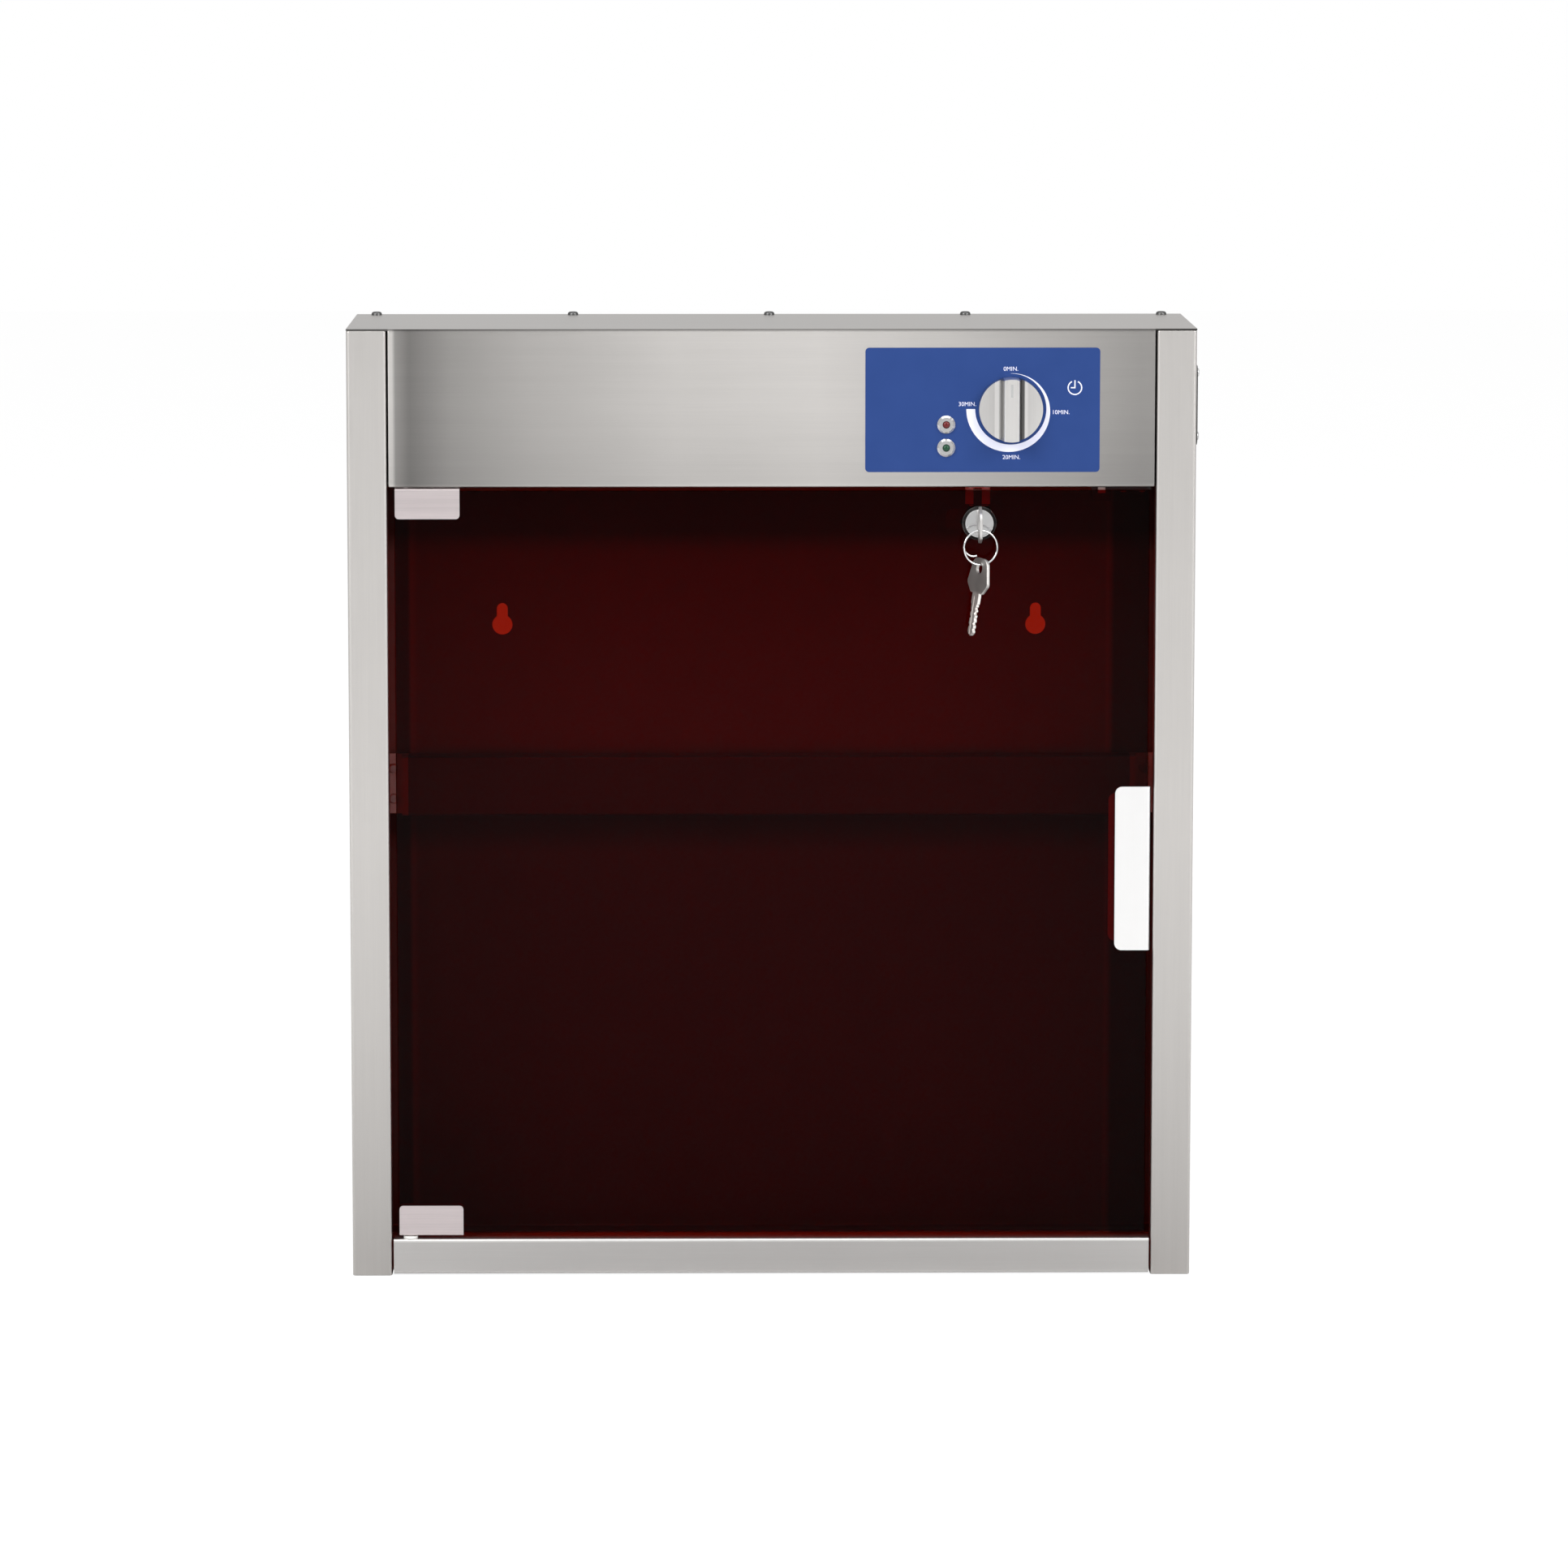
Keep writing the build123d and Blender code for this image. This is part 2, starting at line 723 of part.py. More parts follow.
def mains_inlet():
    """The three-pin inlet for a detachable lead, screwed to the right side panel."""
    deep, tall = inlet_body[0] / 2, inlet_body[1] / 2
    body = block(
        (half_width - inlet_body[2], half_width),
        (inlet_y - deep, inlet_y + deep),
        (inlet_z - tall, inlet_z + tall),
    )
    body = chamfer(body.edges().filter_by(Axis.X).group_by(Axis.Y)[-1], inlet_bevel)
    rim_y, rim_z, rim_x = inlet_flange
    rim = block(
        (half_width, half_width + rim_x),
        (inlet_y - rim_y / 2, inlet_y + rim_y / 2),
        (inlet_z - rim_z / 2, inlet_z + rim_z / 2),
    )
    rim = fillet(rim.edges().filter_by(Axis.X), inlet_corner)
    cavity_y, cavity_z, cavity_x = inlet_cavity
    floor_x = half_width + rim_x - cavity_x
    cavity = block(
        (floor_x, half_width + rim_x + 1),
        (inlet_y - cavity_y / 2, inlet_y + cavity_y / 2),
        (inlet_z - cavity_z / 2, inlet_z + cavity_z / 2),
    )
    cavity = chamfer(cavity.edges().filter_by(Axis.X).group_by(Axis.Y)[-1], inlet_cavity_bevel)
    inlet = body + rim - cavity
    pin_width, pin_thickness, pin_inset = inlet_pin
    for y, z in inlet_pin_places:
        inlet += block(
            (floor_x - 1, half_width + rim_x - pin_inset),
            (inlet_y + y - pin_width / 2, inlet_y + y + pin_width / 2),
            (inlet_z + z - pin_thickness / 2, inlet_z + z + pin_thickness / 2),
        )
    for z in inlet_screw_heights():
        inlet -= rod_x((half_width - 1, half_width + rim_x + 1), inlet_y, z, inlet_screw_radius + hole_fit)
    return inlet


def inlet_screws():
    """The two screws of the mains inlet."""
    screw = Rot(0, 90, 0) * pan_screw(inlet_screw_radius, inlet_screw_radius * 1.8, 1.6, inlet_screw_length)
    face = half_width + inlet_flange[2]
    return [Pos(face, inlet_y, z) * screw for z in inlet_screw_heights()]


def lamp_tube():
    """The lamp's glass tube, between its end caps."""
    glass = tube_length / 2 - lamp_cap_length
    return rod_x((-glass, glass), tube_y, tube_z, tube_radius)


def lamp_cap(side):
    """One of the lamp's end caps with its two pins, on the given side."""
    inner = tube_length / 2 - lamp_cap_length
    outer = tube_length / 2
    cap = rod_x((inner, outer), tube_y, tube_z, tube_radius)
    cap = fillet(cap.edges().group_by(Axis.X)[-1], lamp_cap_round)
    for end in (-1, 1):
        z = tube_z + end * lamp_pin_spacing / 2
        cap += rod_x((outer - 1, outer + lamp_pin_length), tube_y, z, lamp_pin_radius)
    return mirror(cap, Plane.YZ) if side < 0 else cap


def lamp_holder(side):
    """A lamp holder standing off the tray's rear wall, with the bores for the lamp's pins."""
    near = tube_length / 2
    far = near + lamp_holder_length
    nose = tube_y + tube_radius
    body = block((near, far), (tray_back, nose), (tube_z - tube_radius, tube_z + tube_radius))
    body = fillet(body.edges().filter_by(Axis.X).group_by(Axis.Y)[-1], tube_radius * 0.8)
    for end in (-1, 1):
        z = tube_z + end * lamp_pin_spacing / 2
        bore = (near - 1, near + lamp_pin_length + part_gap)
        body -= rod_x(bore, tube_y, z, lamp_pin_radius + hole_fit)
    return mirror(body, Plane.YZ) if side < 0 else body


def knife_bar_cover():
    """The bar's folded steel cover, open towards the wall."""
    section = [
        (wall_face, bar_bottom + bar_height),
        (wall_face - bar_depth, bar_bottom + bar_height),
        (wall_face - bar_depth, bar_bottom),
        (wall_face, bar_bottom),
    ]
    half = bar_length / 2 - bracket_thickness
    return fold_along_x(section, (-half, half), bar_sheet)


def knife_bar_magnets():
    """The row of magnets behind the bar's front."""
    length, thick, height = magnet_size
    face = wall_face - bar_depth + bar_sheet
    middle = bar_bottom + bar_height / 2
    heights = (middle - height / 2, middle + height / 2)
    pitch = (bar_length - 2 * bracket_thickness) / magnet_count
    magnets = []
    for index in range(magnet_count):
        x = (index - (magnet_count - 1) / 2) * pitch
        magnets.append(block((x - length / 2, x + length / 2), (face, face + thick), heights))
    return magnets


def bracket_screw_places():
    """The X values and heights of the screws that hold the knife bar's brackets."""
    x = bar_length / 2 + bracket_foot / 2
    return [(side * x, bar_bottom + share * bar_height) for side in (-1, 1) for share in bracket_screw_shares]


def bracket_screw_holes():
    """The holes in the back panel for the bracket screws, as tools."""
    radius = bracket_screw_radius + hole_fit
    return [rod_y(x, (-2 * sheet, sheet), z, radius) for x, z in bracket_screw_places()]


def knife_bar_bracket(side):
    """One of the bar's end brackets: a thick end wall with a foot on the back panel."""
    inner = bar_length / 2 - bracket_thickness
    outer = bar_length / 2
    z = (bar_bottom, bar_bottom + bar_height)
    wall = block((inner, outer), (wall_face - bar_depth, wall_face), z)
    wall = fillet(wall.edges().filter_by(Axis.X).group_by(Axis.Y)[0], fold_radius)
    foot = block((outer - 1, outer + bracket_foot), (wall_face - bracket_foot_thickness, wall_face), z)
    bracket = wall + foot
    for x, height in bracket_screw_places():
        if x > 0:
            through = (wall_face - bracket_foot_thickness - 1, 0)
            bracket -= rod_y(x, through, height, bracket_screw_radius + hole_fit)
    return mirror(bracket, Plane.YZ) if side < 0 else bracket


def bracket_screws():
    """The screws of the knife bar's brackets, their ends flush with the back panel."""
    length = bracket_foot_thickness + sheet
    screw = Rot(90, 0, 0) * pan_screw(bracket_screw_radius, bracket_screw_radius * 1.8, 1.8, length)
    return [Pos(x, wall_face - bracket_foot_thickness, z) * screw for x, z in bracket_screw_places()]


def strike_bracket():
    """The lock's strike: a tab under the header with two prongs hanging in front of the cam."""
    half = strike_prong + strike_slot / 2
    tab_front = strike_rivet_y - strike_tab_end
    under = header_bottom
    outline = [(strike_back, under - strike_drop), (strike_back, under), (tab_front, under)]
    bracket = fold_along_x(outline, (lock_x - half, lock_x + half), strike_thickness)
    slot_z = (under - strike_drop - 1, under - strike_thickness * 2)
    slot = block(
        (lock_x - strike_slot / 2, lock_x + strike_slot / 2), (strike_back - 4, strike_back + 1), slot_z
    )
    bracket -= slot
    for x in strike_rivet_places:
        bracket -= rod_z(x, strike_rivet_y, (under - 3, under + 1), switch_screw_radius + hole_fit)
    return bracket


def strike_rivets():
    """The two rivets that hold the strike to the header's flange and the tray."""
    low, high = header_bottom - strike_thickness, tray_floor
    head_radius, head_height = rivet_head
    rivets = []
    for x in strike_rivet_places:
        rivet = rod_z(x, strike_rivet_y, (low, high), switch_screw_radius)
        rivet += rod_z(x, strike_rivet_y, (low - head_height, low), head_radius)
        rivet += rod_z(x, strike_rivet_y, (high, high + head_height), head_radius)
        rivets.append(rivet)
    return rivets


def interlock_switch():
    """The door switch below the header's flange: a small housing with a mounting wing."""
    wide, deep, tall = switch_size
    wing_length, wing_height = switch_wing
    left = switch_x - wide / 2
    y = (switch_front, switch_front + deep)
    body = block((left, left + wide), y, (header_bottom - tall, header_bottom))
    body = fillet(body.edges().filter_by(Axis.Y).group_by(Axis.Z)[0], 1.2)
    wing_z = (header_bottom - wing_height, header_bottom)
    body += block((left + wide - 1, left + wide + wing_length), y, wing_z)
    plunger_w, plunger_h = plunger_size
    half = plunger_w / 2 + sliding_fit
    well_y = (switch_front - 1, switch_front + plunger_travel + plunger_guide + sliding_fit)
    well_z = (plunger_z - plunger_h / 2 - sliding_fit, plunger_z + plunger_h / 2 + sliding_fit)
    body -= block((switch_x - half, switch_x + half), well_y, well_z)
    through = (header_bottom - tall, header_bottom + 1)
    for x in switch_screw_x:
        body -= rod_z(x, switch_screw_y, through, switch_screw_radius + hole_fit)
    return body


def interlock_screws():
    """The switch's two screws, driven up into the tray."""
    length = switch_wing[1] + 2 * sheet
    screw = Rot(180, 0, 0) * pan_screw(switch_screw_radius, switch_screw_head, 2.0, length)
    return [Pos(x, switch_screw_y, header_bottom - switch_wing[1]) * screw for x in switch_screw_x]


def switch_plunger():
    """The switch's plunger, standing just clear of the closed door."""
    wide, tall = plunger_size
    plunger = block(
        (switch_x - wide / 2, switch_x + wide / 2),
        (door_back + part_gap, switch_front + plunger_guide),
        (plunger_z - tall / 2, plunger_z + tall / 2),
    )
    return fillet(plunger.edges().group_by(Axis.Y)[0], 0.6)


def pivot_bush(low, high, flange_low, flange_radius):
    """A plastic pivot bush: a barrel through the sheet with a flange resting on it."""
    outer = pivot_radius + running_fit + bush_wall
    bush = rod_z(pivot_x, pivot_y, (low, high), outer)
    bush += rod_z(pivot_x, pivot_y, (flange_low, high), flange_radius)
    return bush - rod_z(pivot_x, pivot_y, (low - 1, high + 5), pivot_radius + running_fit)


def top_pivot_bush():
    """The bush in the header's flange, its own flange inside the compartment."""
    high = tray_floor + bush_flange_height
    return pivot_bush(header_bottom, high, tray_floor, bush_flange)


def bottom_pivot_washer():
    """The white bush on the apron, whose flange keeps the door off it."""
    high = clip_bottom - part_gap
    return pivot_bush(apron_top - 3 * sheet, high, apron_top, washer_radius)


def internal_wiring():
    """The leads inside the compartment, each a tube from one face to the next."""
    start_x = half_width - inlet_body[2]
    block_end = terminal_x + terminal_size[0] / 2
    low = tray_floor + wire_radius + wire_clearance
    holder_end = starter_x + holder_size[0]
    drop = inlet_z - low
    supply = [
        (start_x, inlet_y, inlet_z),
        (start_x - drop, inlet_y, inlet_z),
        (start_x - 2 * drop, tray_line, low),
        (block_end, tray_line, low),
    ]
    lamp = [(terminal_x - terminal_size[0] / 2, tray_line, low), (holder_end, tray_line, low)]
    return [wire(supply), wire(lamp)]


def wire(points):
    """A round lead along straight runs joined by arcs."""
    path = FilletPolyline(*points, radius=wire_bend) if len(points) > 2 else Line(*points)
    start = Plane(origin=path @ 0, z_dir=path % 0)
    return sweep(start * Circle(wire_radius), path=path)


def door_panel():
    """The see-through panel with ground edges and the hole for the lock."""
    panel = block((door_left, door_right), (door_front, door_back), (door_bottom, door_top))
    panel = chamfer(panel.edges(), door_arris)
    hole = rod_y(lock_x, (door_front - 1, door_back + 1), lock_z, lock_barrel_radius + sliding_fit)
    return panel - hole


def clip_outline(offset_by, edge, reach):
    """The U that wraps a door edge at height edge, lying offset_by outside the panel."""
    low = edge - reach
    y_front = door_front - offset_by
    y_back = door_back + offset_by
    return [(y_back, low), (y_back, edge), (y_front, edge), (y_front, low)]


def hinge_clip_at_top():
    """The top hinge clip: a folded U over the door's edge, bosses for its screws and the pin."""
    wrap = pad_thickness + clip_sheet
    x = (door_left + clip_inset, door_left + clip_inset + clip_width)
    clip = fold_along_x(clip_outline(wrap, clip_top, clip_height), x, clip_sheet)
    clip = fillet(clip.edges().filter_by(Axis.Y).group_by(Axis.Z)[0], clip_corner)
    back = door_back + wrap
    boss_y = (back - clip_sheet / 2, back + set_screw_boss)
    hole_y = (door_back + pad_thickness - 1, back + 5)
    for x_screw in set_screw_places():
        clip += rod_y(x_screw, boss_y, set_screw_z, set_screw_radius + set_screw_wall)
        clip -= rod_y(x_screw, hole_y, set_screw_z, set_screw_radius + hole_fit)
    clip += rod_z(pivot_x, pivot_y, (clip_top - clip_sheet / 2, clip_top + pivot_length), pivot_radius)
    return clip


def set_screw_places():
    """The X values of the set screws of a hinge clip."""
    middle = door_left + clip_inset + clip_width / 2
    return [middle - set_screw_pitch / 2, middle + set_screw_pitch / 2]


def hinge_pad_at_top():
    """The liner between the top clip and the panel."""
    x = (door_left + clip_inset, door_left + clip_inset + clip_width)
    outline = clip_outline(pad_thickness, clip_top - clip_sheet, clip_height - clip_sheet - clip_corner)
    return fold_along_x(outline, x, pad_thickness, fold_radius - clip_sheet)


def set_screws_at_top():
    """The set screws that clamp the top clip on its liner."""
    face = door_back + pad_thickness
    end = face + clip_sheet + set_screw_boss
    socket_radius, socket_depth = set_screw_socket
    screws = []
    for x in set_screw_places():
        screw = rod_y(x, (face, end), set_screw_z, set_screw_radius)
        socket = hexagon_y(x, (end - socket_depth, end + 1), set_screw_z, socket_radius)
        screws.append(screw - socket)
    return screws


def at_bottom(solid):
    """The same piece on the door's lower edge, mirrored about the door's middle."""
    middle = (door_top + door_bottom) / 2
    return mirror(solid, Plane.XY.offset(middle))


def handle_outline(offset_by, outer, front_reach, back_reach):
    """The U that wraps the door's free edge, lying offset_by outside the panel."""
    y_front = door_front - offset_by
    y_back = door_back + offset_by
    return [(outer - front_reach, y_front), (outer, y_front), (outer, y_back), (outer - back_reach, y_back)]


def door_handle():
    """The handle: a folded U over the free edge, its rear leg longer and set in at both ends."""
    wrap = pad_thickness + clip_sheet
    outer = door_right + wrap
    back_reach = handle_width + handle_inner_extra
    z = (handle_middle - handle_height / 2, handle_middle + handle_height / 2)
    handle = fold_along_z(handle_outline(wrap, outer, handle_width, back_reach), z, clip_sheet)
    flat_back = door_back + pad_thickness - 0.1
    for end, inner in ((z[0], z[0] + handle_inner_inset), (z[1], z[1] - handle_inner_inset)):
        span = sorted((end, inner))
        handle -= block((outer - back_reach - 1, outer - fold_radius), (flat_back, flat_back + 5), span)
    corners = handle.edges().filter_by(Axis.Y).group_by(Axis.X)
    handle = fillet(corners[0], handle_corner)
    inner_edge = outer - handle_width
    corners = handle.edges().filter_by(Axis.Y)
    corners = corners.filter_by_position(Axis.X, inner_edge - 0.1, inner_edge + 0.1)
    return fillet(corners, handle_corner)


def handle_pad():
    """The liner between the handle and the panel."""
    z_half = handle_height / 2 - handle_inner_inset - handle_corner
    reach = handle_width - handle_corner
    outline = handle_outline(pad_thickness, door_right + pad_thickness, reach, reach)
    z = (handle_middle - z_half, handle_middle + z_half)
    return fold_along_z(outline, z, pad_thickness, fold_radius - clip_sheet)


def lock_housing():
    """The lock's coned flange and its barrel through the door, bored for the plug."""
    flange_front = door_front - lock_flange_height
    cone_back = door_front - lock_flange_rim
    housing = turned_y(
        lock_x,
        lock_z,
        [
            (flange_front, 0),
            (flange_front, lock_bead_radius),
            (cone_back, lock_flange_radius),
            (door_front, lock_flange_radius),
            (door_front, lock_barrel_radius),
            (barrel_end, lock_barrel_radius),
            (barrel_end, 0),
        ],
    )
    housing -= rod_y(lock_x, (flange_front - 1, barrel_end + 1), lock_z, plug_radius + running_fit)
    seat = plug_front + plug_face_thickness + running_fit
    return housing - rod_y(lock_x, (flange_front - 1, seat), lock_z, plug_face_radius + running_fit)


def lock_nut():
    """The nut that clamps the lock from behind the door."""
    nut = hexagon_y(lock_x, (door_back, door_back + nut_height), lock_z, nut_radius)
    return nut - rod_y(lock_x, (door_back - 1, door_back + nut_height + 1), lock_z, lock_barrel_radius)


def lock_plug():
    """The plug that the key turns: face and keyway in front, square tail for the cam behind."""
    tail_end = cam_front + cam_thickness
    face_back = plug_front + plug_face_thickness
    plug = turned_y(
        lock_x,
        lock_z,
        [
            (plug_front, 0),
            (plug_front, plug_face_radius),
            (face_back, plug_face_radius),
            (face_back, plug_radius),
            (barrel_end + part_gap, plug_radius),
            (barrel_end + part_gap, plug_neck_radius),
            (cam_front, plug_neck_radius),
            (cam_front, 0),
        ],
    )
    half = cam_square / 2
    plug += block((lock_x - half, lock_x + half), (barrel_end, tail_end), (lock_z - half, lock_z + half))
    slot_x = key_thickness / 2 + sliding_fit
    slot_z = key_blade_width / 2 + sliding_fit
    slot_y = (plug_front - 1, blade_end + part_gap)
    plug -= block((lock_x - slot_x, lock_x + slot_x), slot_y, (lock_z - slot_z, lock_z + slot_z))
    return plug - rod_y(lock_x, (tail_end - cam_screw_length, tail_end + 1), lock_z, cam_screw_radius)


def lock_cam():
    """The flat cam on the plug's tail, its tip rounded."""
    half = cam_width / 2
    tip_x = lock_x - cam_reach
    y = (cam_front, cam_front + cam_thickness)
    arm = round_plate((tip_x, lock_x + half), y, (lock_z - half, lock_z + half), half * cam_tip_share)
    square = cam_square / 2 + 0.01
    return arm - block(
        (lock_x - square, lock_x + square), (y[0] - 1, y[1] + 1), (lock_z - square, lock_z + square)
    )


def cam_screw():
    """The screw that holds the cam on the plug."""
    screw = Rot(-90, 0, 0) * pan_screw(cam_screw_radius, *cam_screw_head, cam_screw_length)
    return Pos(lock_x, cam_front + cam_thickness, lock_z) * screw


def key_bow():
    """The key's bow in outline: narrow where it hangs, wide and rounded at its shoulders."""
    half_top, half_wide, half_shoulder = key_bow_top / 2, key_bow_width / 2, key_bow_shoulder / 2
    half = [(0, half_top), (key_bow_widest, half_wide), (key_bow_length, half_shoulder)]
    outline = half + [(x, -y) for x, y in reversed(half)]
    bow = make_face(Polyline(*outline, close=True))
    for (x, y), radius in zip(half, key_bow_corners):
        corners = [v for v in bow.vertices() if abs(v.X - x) < 0.01 and abs(abs(v.Y) - y) < 0.01]
        bow = fillet(corners, radius)
    return bow


def key_blade():
    """The key's blade in outline: a plain shoulder, then a narrower part cut on both edges."""
    half_shoulder, half_cut, half_tip = key_blade_width / 2, key_cut_width / 2, key_tip_width / 2
    cut_start = key_bow_length + key_shoulder_length
    half = [
        (key_bow_length - 1, half_shoulder),
        (cut_start, half_shoulder),
        (cut_start + 0.6, half_cut),
        (key_length - key_tip_length, half_cut),
        (key_length, half_tip),
    ]
    outline = half + [(x, -y) for x, y in reversed(half)]
    blade = make_face(Polyline(*outline, close=True))
    for cuts, side in ((key_cuts_below, -1), (key_cuts_above, 1)):
        edge = side * (half_cut + 0.1)
        for place, depth in cuts:
            x = cut_start + place
            notch = [(x - key_cut_half, edge), (x, side * (half_cut - depth)), (x + key_cut_half, edge)]
            blade -= make_face(Polyline(*notch, close=True))
    return blade


def key_blank():
    """A key lying along X: bow from 0, then the cut blade, its thickness along Z."""
    bow = extrude(key_bow(), amount=key_thickness / 2, both=True)
    bow = chamfer(bow.edges().group_by(Axis.Z)[0], key_edge)
    bow = chamfer(bow.edges().group_by(Axis.Z)[-1], key_edge)
    blade = extrude(key_blade(), amount=key_thickness / 2, both=True)
    groove_x = (key_bow_length + key_neck, key_length + 1)
    for z in (-key_thickness / 2, key_thickness / 2):
        blade -= block(groove_x, key_groove, (z - key_groove_depth, z + key_groove_depth))
    return bow + blade - Pos(key_hole_inset, 0, 0) * Cylinder(key_hole_radius, key_thickness * 2)


def inserted_key():
    """The key standing in the plug, its bow on edge."""
    place = Plane((lock_x, key_bow_end, lock_z), x_dir=(0, 1, 0), z_dir=(1, 0, 0))
    return place.location * key_blank()


def key_ring():
    """The wire ring through the key's bow, turned a little, with the slit where it opens."""
    ring = Rot(90, 0, 0) * Torus(ring_radius, ring_wire)
    slit = Box(2 * ring_wire + 1, 2 * ring_wire + 1, ring_opening)
    ring -= Rot(0, 45, 0) * Pos(-ring_radius, 0, 0) * slit
    return Pos(lock_x, key_hole_y, ring_centre_z) * Rot(0, 0, ring_turn) * ring


def spare_key():
    """The second key, hanging on the ring, turned and leaning a little."""
    hang = Plane((0, 0, key_hole_inset), x_dir=(0, 0, -1), z_dir=(1, 0, 0))
    turned = Rot(0, 0, spare_key_turn) * hang.location * key_blank()
    return Pos(lock_x, key_hole_y, spare_hole_z) * Rot(0, spare_key_lean, 0) * turned


parts = {
    "top_cover": top_cover(),
    "left_side_panel": left_side_panel(),
    "right_side_panel": right_side_panel(),
    "back_panel": back_panel(),
    "bottom_panel": bottom_panel(),
    "electrics_tray": electrics_tray(),
    "top_cover_screws": top_cover_screws(),
    "control_label": control_label(),
    "timer_body": timer_body(),
    "timer_nut": timer_nut(),
    "timer_knob": timer_knob(),
    "knob_pointer": knob_pointer(),
    "timer_shaft": timer_shaft(),
    "red_indicator_bezel": indicator_bezel(red_z),
    "green_indicator_bezel": indicator_bezel(green_z),
    "red_indicator_lens": indicator_lens(red_z),
    "green_indicator_lens": indicator_lens(green_z),
    "indicator_nuts": indicator_nuts(),
    "ballast": ballast(),
    "starter": starter(),
    "starter_holder": starter_holder(),
    "terminal_block": terminal_block(),
    "mains_inlet": mains_inlet(),
    "inlet_screws": inlet_screws(),
    "lamp_tube": lamp_tube(),
    "lamp_caps": [lamp_cap(-1), lamp_cap(1)],
    "left_lamp_holder": lamp_holder(-1),
    "right_lamp_holder": lamp_holder(1),
    "knife_bar_cover": knife_bar_cover(),
    "knife_bar_magnets": knife_bar_magnets(),
    "knife_bar_brackets": [knife_bar_bracket(-1), knife_bar_bracket(1)],
    "bracket_screws": bracket_screws(),
    "strike_bracket": strike_bracket(),
    "strike_rivets": strike_rivets(),
    "interlock_switch": interlock_switch(),
    "interlock_screws": interlock_screws(),
    "switch_plunger": switch_plunger(),
    "top_pivot_bush": top_pivot_bush(),
    "bottom_pivot_washer": bottom_pivot_washer(),
    "internal_wiring": internal_wiring(),
    "door_panel": door_panel(),
    "top_hinge_clip": hinge_clip_at_top(),
    "bottom_hinge_clip": at_bottom(hinge_clip_at_top()),
    "hinge_pads": [hinge_pad_at_top(), at_bottom(hinge_pad_at_top())],
    "hinge_set_screws": set_screws_at_top() + [at_bottom(screw) for screw in set_screws_at_top()],
    "door_handle": door_handle(),
    "handle_pad": handle_pad(),
    "lock_housing": lock_housing(),
    "lock_nut": lock_nut(),
    "lock_plug": lock_plug(),
    "lock_cam": lock_cam(),
    "cam_screw": cam_screw(),
    "inserted_key": inserted_key(),
    "key_ring": key_ring(),
    "spare_key": spare_key(),
}

to_origin = Pos(0, 0, -keyhole_height)
for name, shape in parts.items():
    solids = list(shape) if isinstance(shape, (list, tuple)) else [shape]
    moved = [to_origin * solid for solid in solids]
    result = moved[0] if len(moved) == 1 else Compound(children=moved)
    export_step(result, f"parts/{name}.step")
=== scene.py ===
"""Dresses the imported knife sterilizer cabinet: finishes for its sheet metal, door and fittings, the
print on its dial, its cross-head screws and the wire ring of its keys, on a pale studio floor.

Everything is in metres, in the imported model's frame: X right, Y towards the wall, Z up, and the
origin midway between the two wall keyholes."""

import math
from collections import namedtuple

import bmesh
import bpy
from bpy.props import FloatProperty, FloatVectorProperty, IntProperty, PointerProperty
from mathutils import Matrix, Vector


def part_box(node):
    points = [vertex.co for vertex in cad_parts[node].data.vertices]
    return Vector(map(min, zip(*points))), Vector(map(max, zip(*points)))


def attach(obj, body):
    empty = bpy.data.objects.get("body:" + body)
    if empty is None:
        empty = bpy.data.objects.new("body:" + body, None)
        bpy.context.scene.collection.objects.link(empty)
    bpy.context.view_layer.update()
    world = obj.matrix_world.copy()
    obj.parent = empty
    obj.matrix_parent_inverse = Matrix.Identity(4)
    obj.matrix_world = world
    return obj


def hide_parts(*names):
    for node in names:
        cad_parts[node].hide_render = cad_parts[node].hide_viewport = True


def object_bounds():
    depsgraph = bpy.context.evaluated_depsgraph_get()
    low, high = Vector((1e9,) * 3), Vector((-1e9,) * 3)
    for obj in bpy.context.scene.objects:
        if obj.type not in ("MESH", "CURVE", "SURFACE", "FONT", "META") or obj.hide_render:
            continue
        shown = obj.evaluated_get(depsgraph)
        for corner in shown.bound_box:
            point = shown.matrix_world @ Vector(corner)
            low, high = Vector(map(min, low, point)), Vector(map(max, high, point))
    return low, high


bl_info = {
    "name": "Knife Sterilizer Cabinet",
    "version": (1, 0, 0),
    "blender": (4, 5, 0),
    "location": "3D View > Sidebar > Sterilizer",
    "description": "Finishes, dial print, screws and key ring for a knife sterilizer cabinet",
    "category": "Object",
}

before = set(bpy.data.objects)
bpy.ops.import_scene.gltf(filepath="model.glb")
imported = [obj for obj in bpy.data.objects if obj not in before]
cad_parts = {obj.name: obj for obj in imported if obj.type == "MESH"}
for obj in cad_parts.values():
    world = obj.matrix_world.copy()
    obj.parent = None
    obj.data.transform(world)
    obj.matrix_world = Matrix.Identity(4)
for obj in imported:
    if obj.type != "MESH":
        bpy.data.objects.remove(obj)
cad_box = [list(corner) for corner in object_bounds()]

# A painted shade and highlight along one axis of a sheet, standing in for its reflections and
# shadows: stops are pairs of a place in metres and a level. On what lies behind the Y of face, the
# level is rest, a flat painted shade, or, on the inner side of the cabinet's side walls, a darker
# painted shade.
Fade = namedtuple("Fade", "axis stops face rest lining", defaults=(1.0, 1.0, None))

FRONT_SKIN = 0.0012  # the front faces lie within this depth of the header's front: sheet and a bit
HALF_SHEET = 0.0005  # half of the sheet's thickness: past it, a point is on the sheet's inner face
TEXT_OVER_CAPITAL = 1.42  # a text's size over the height of its capitals


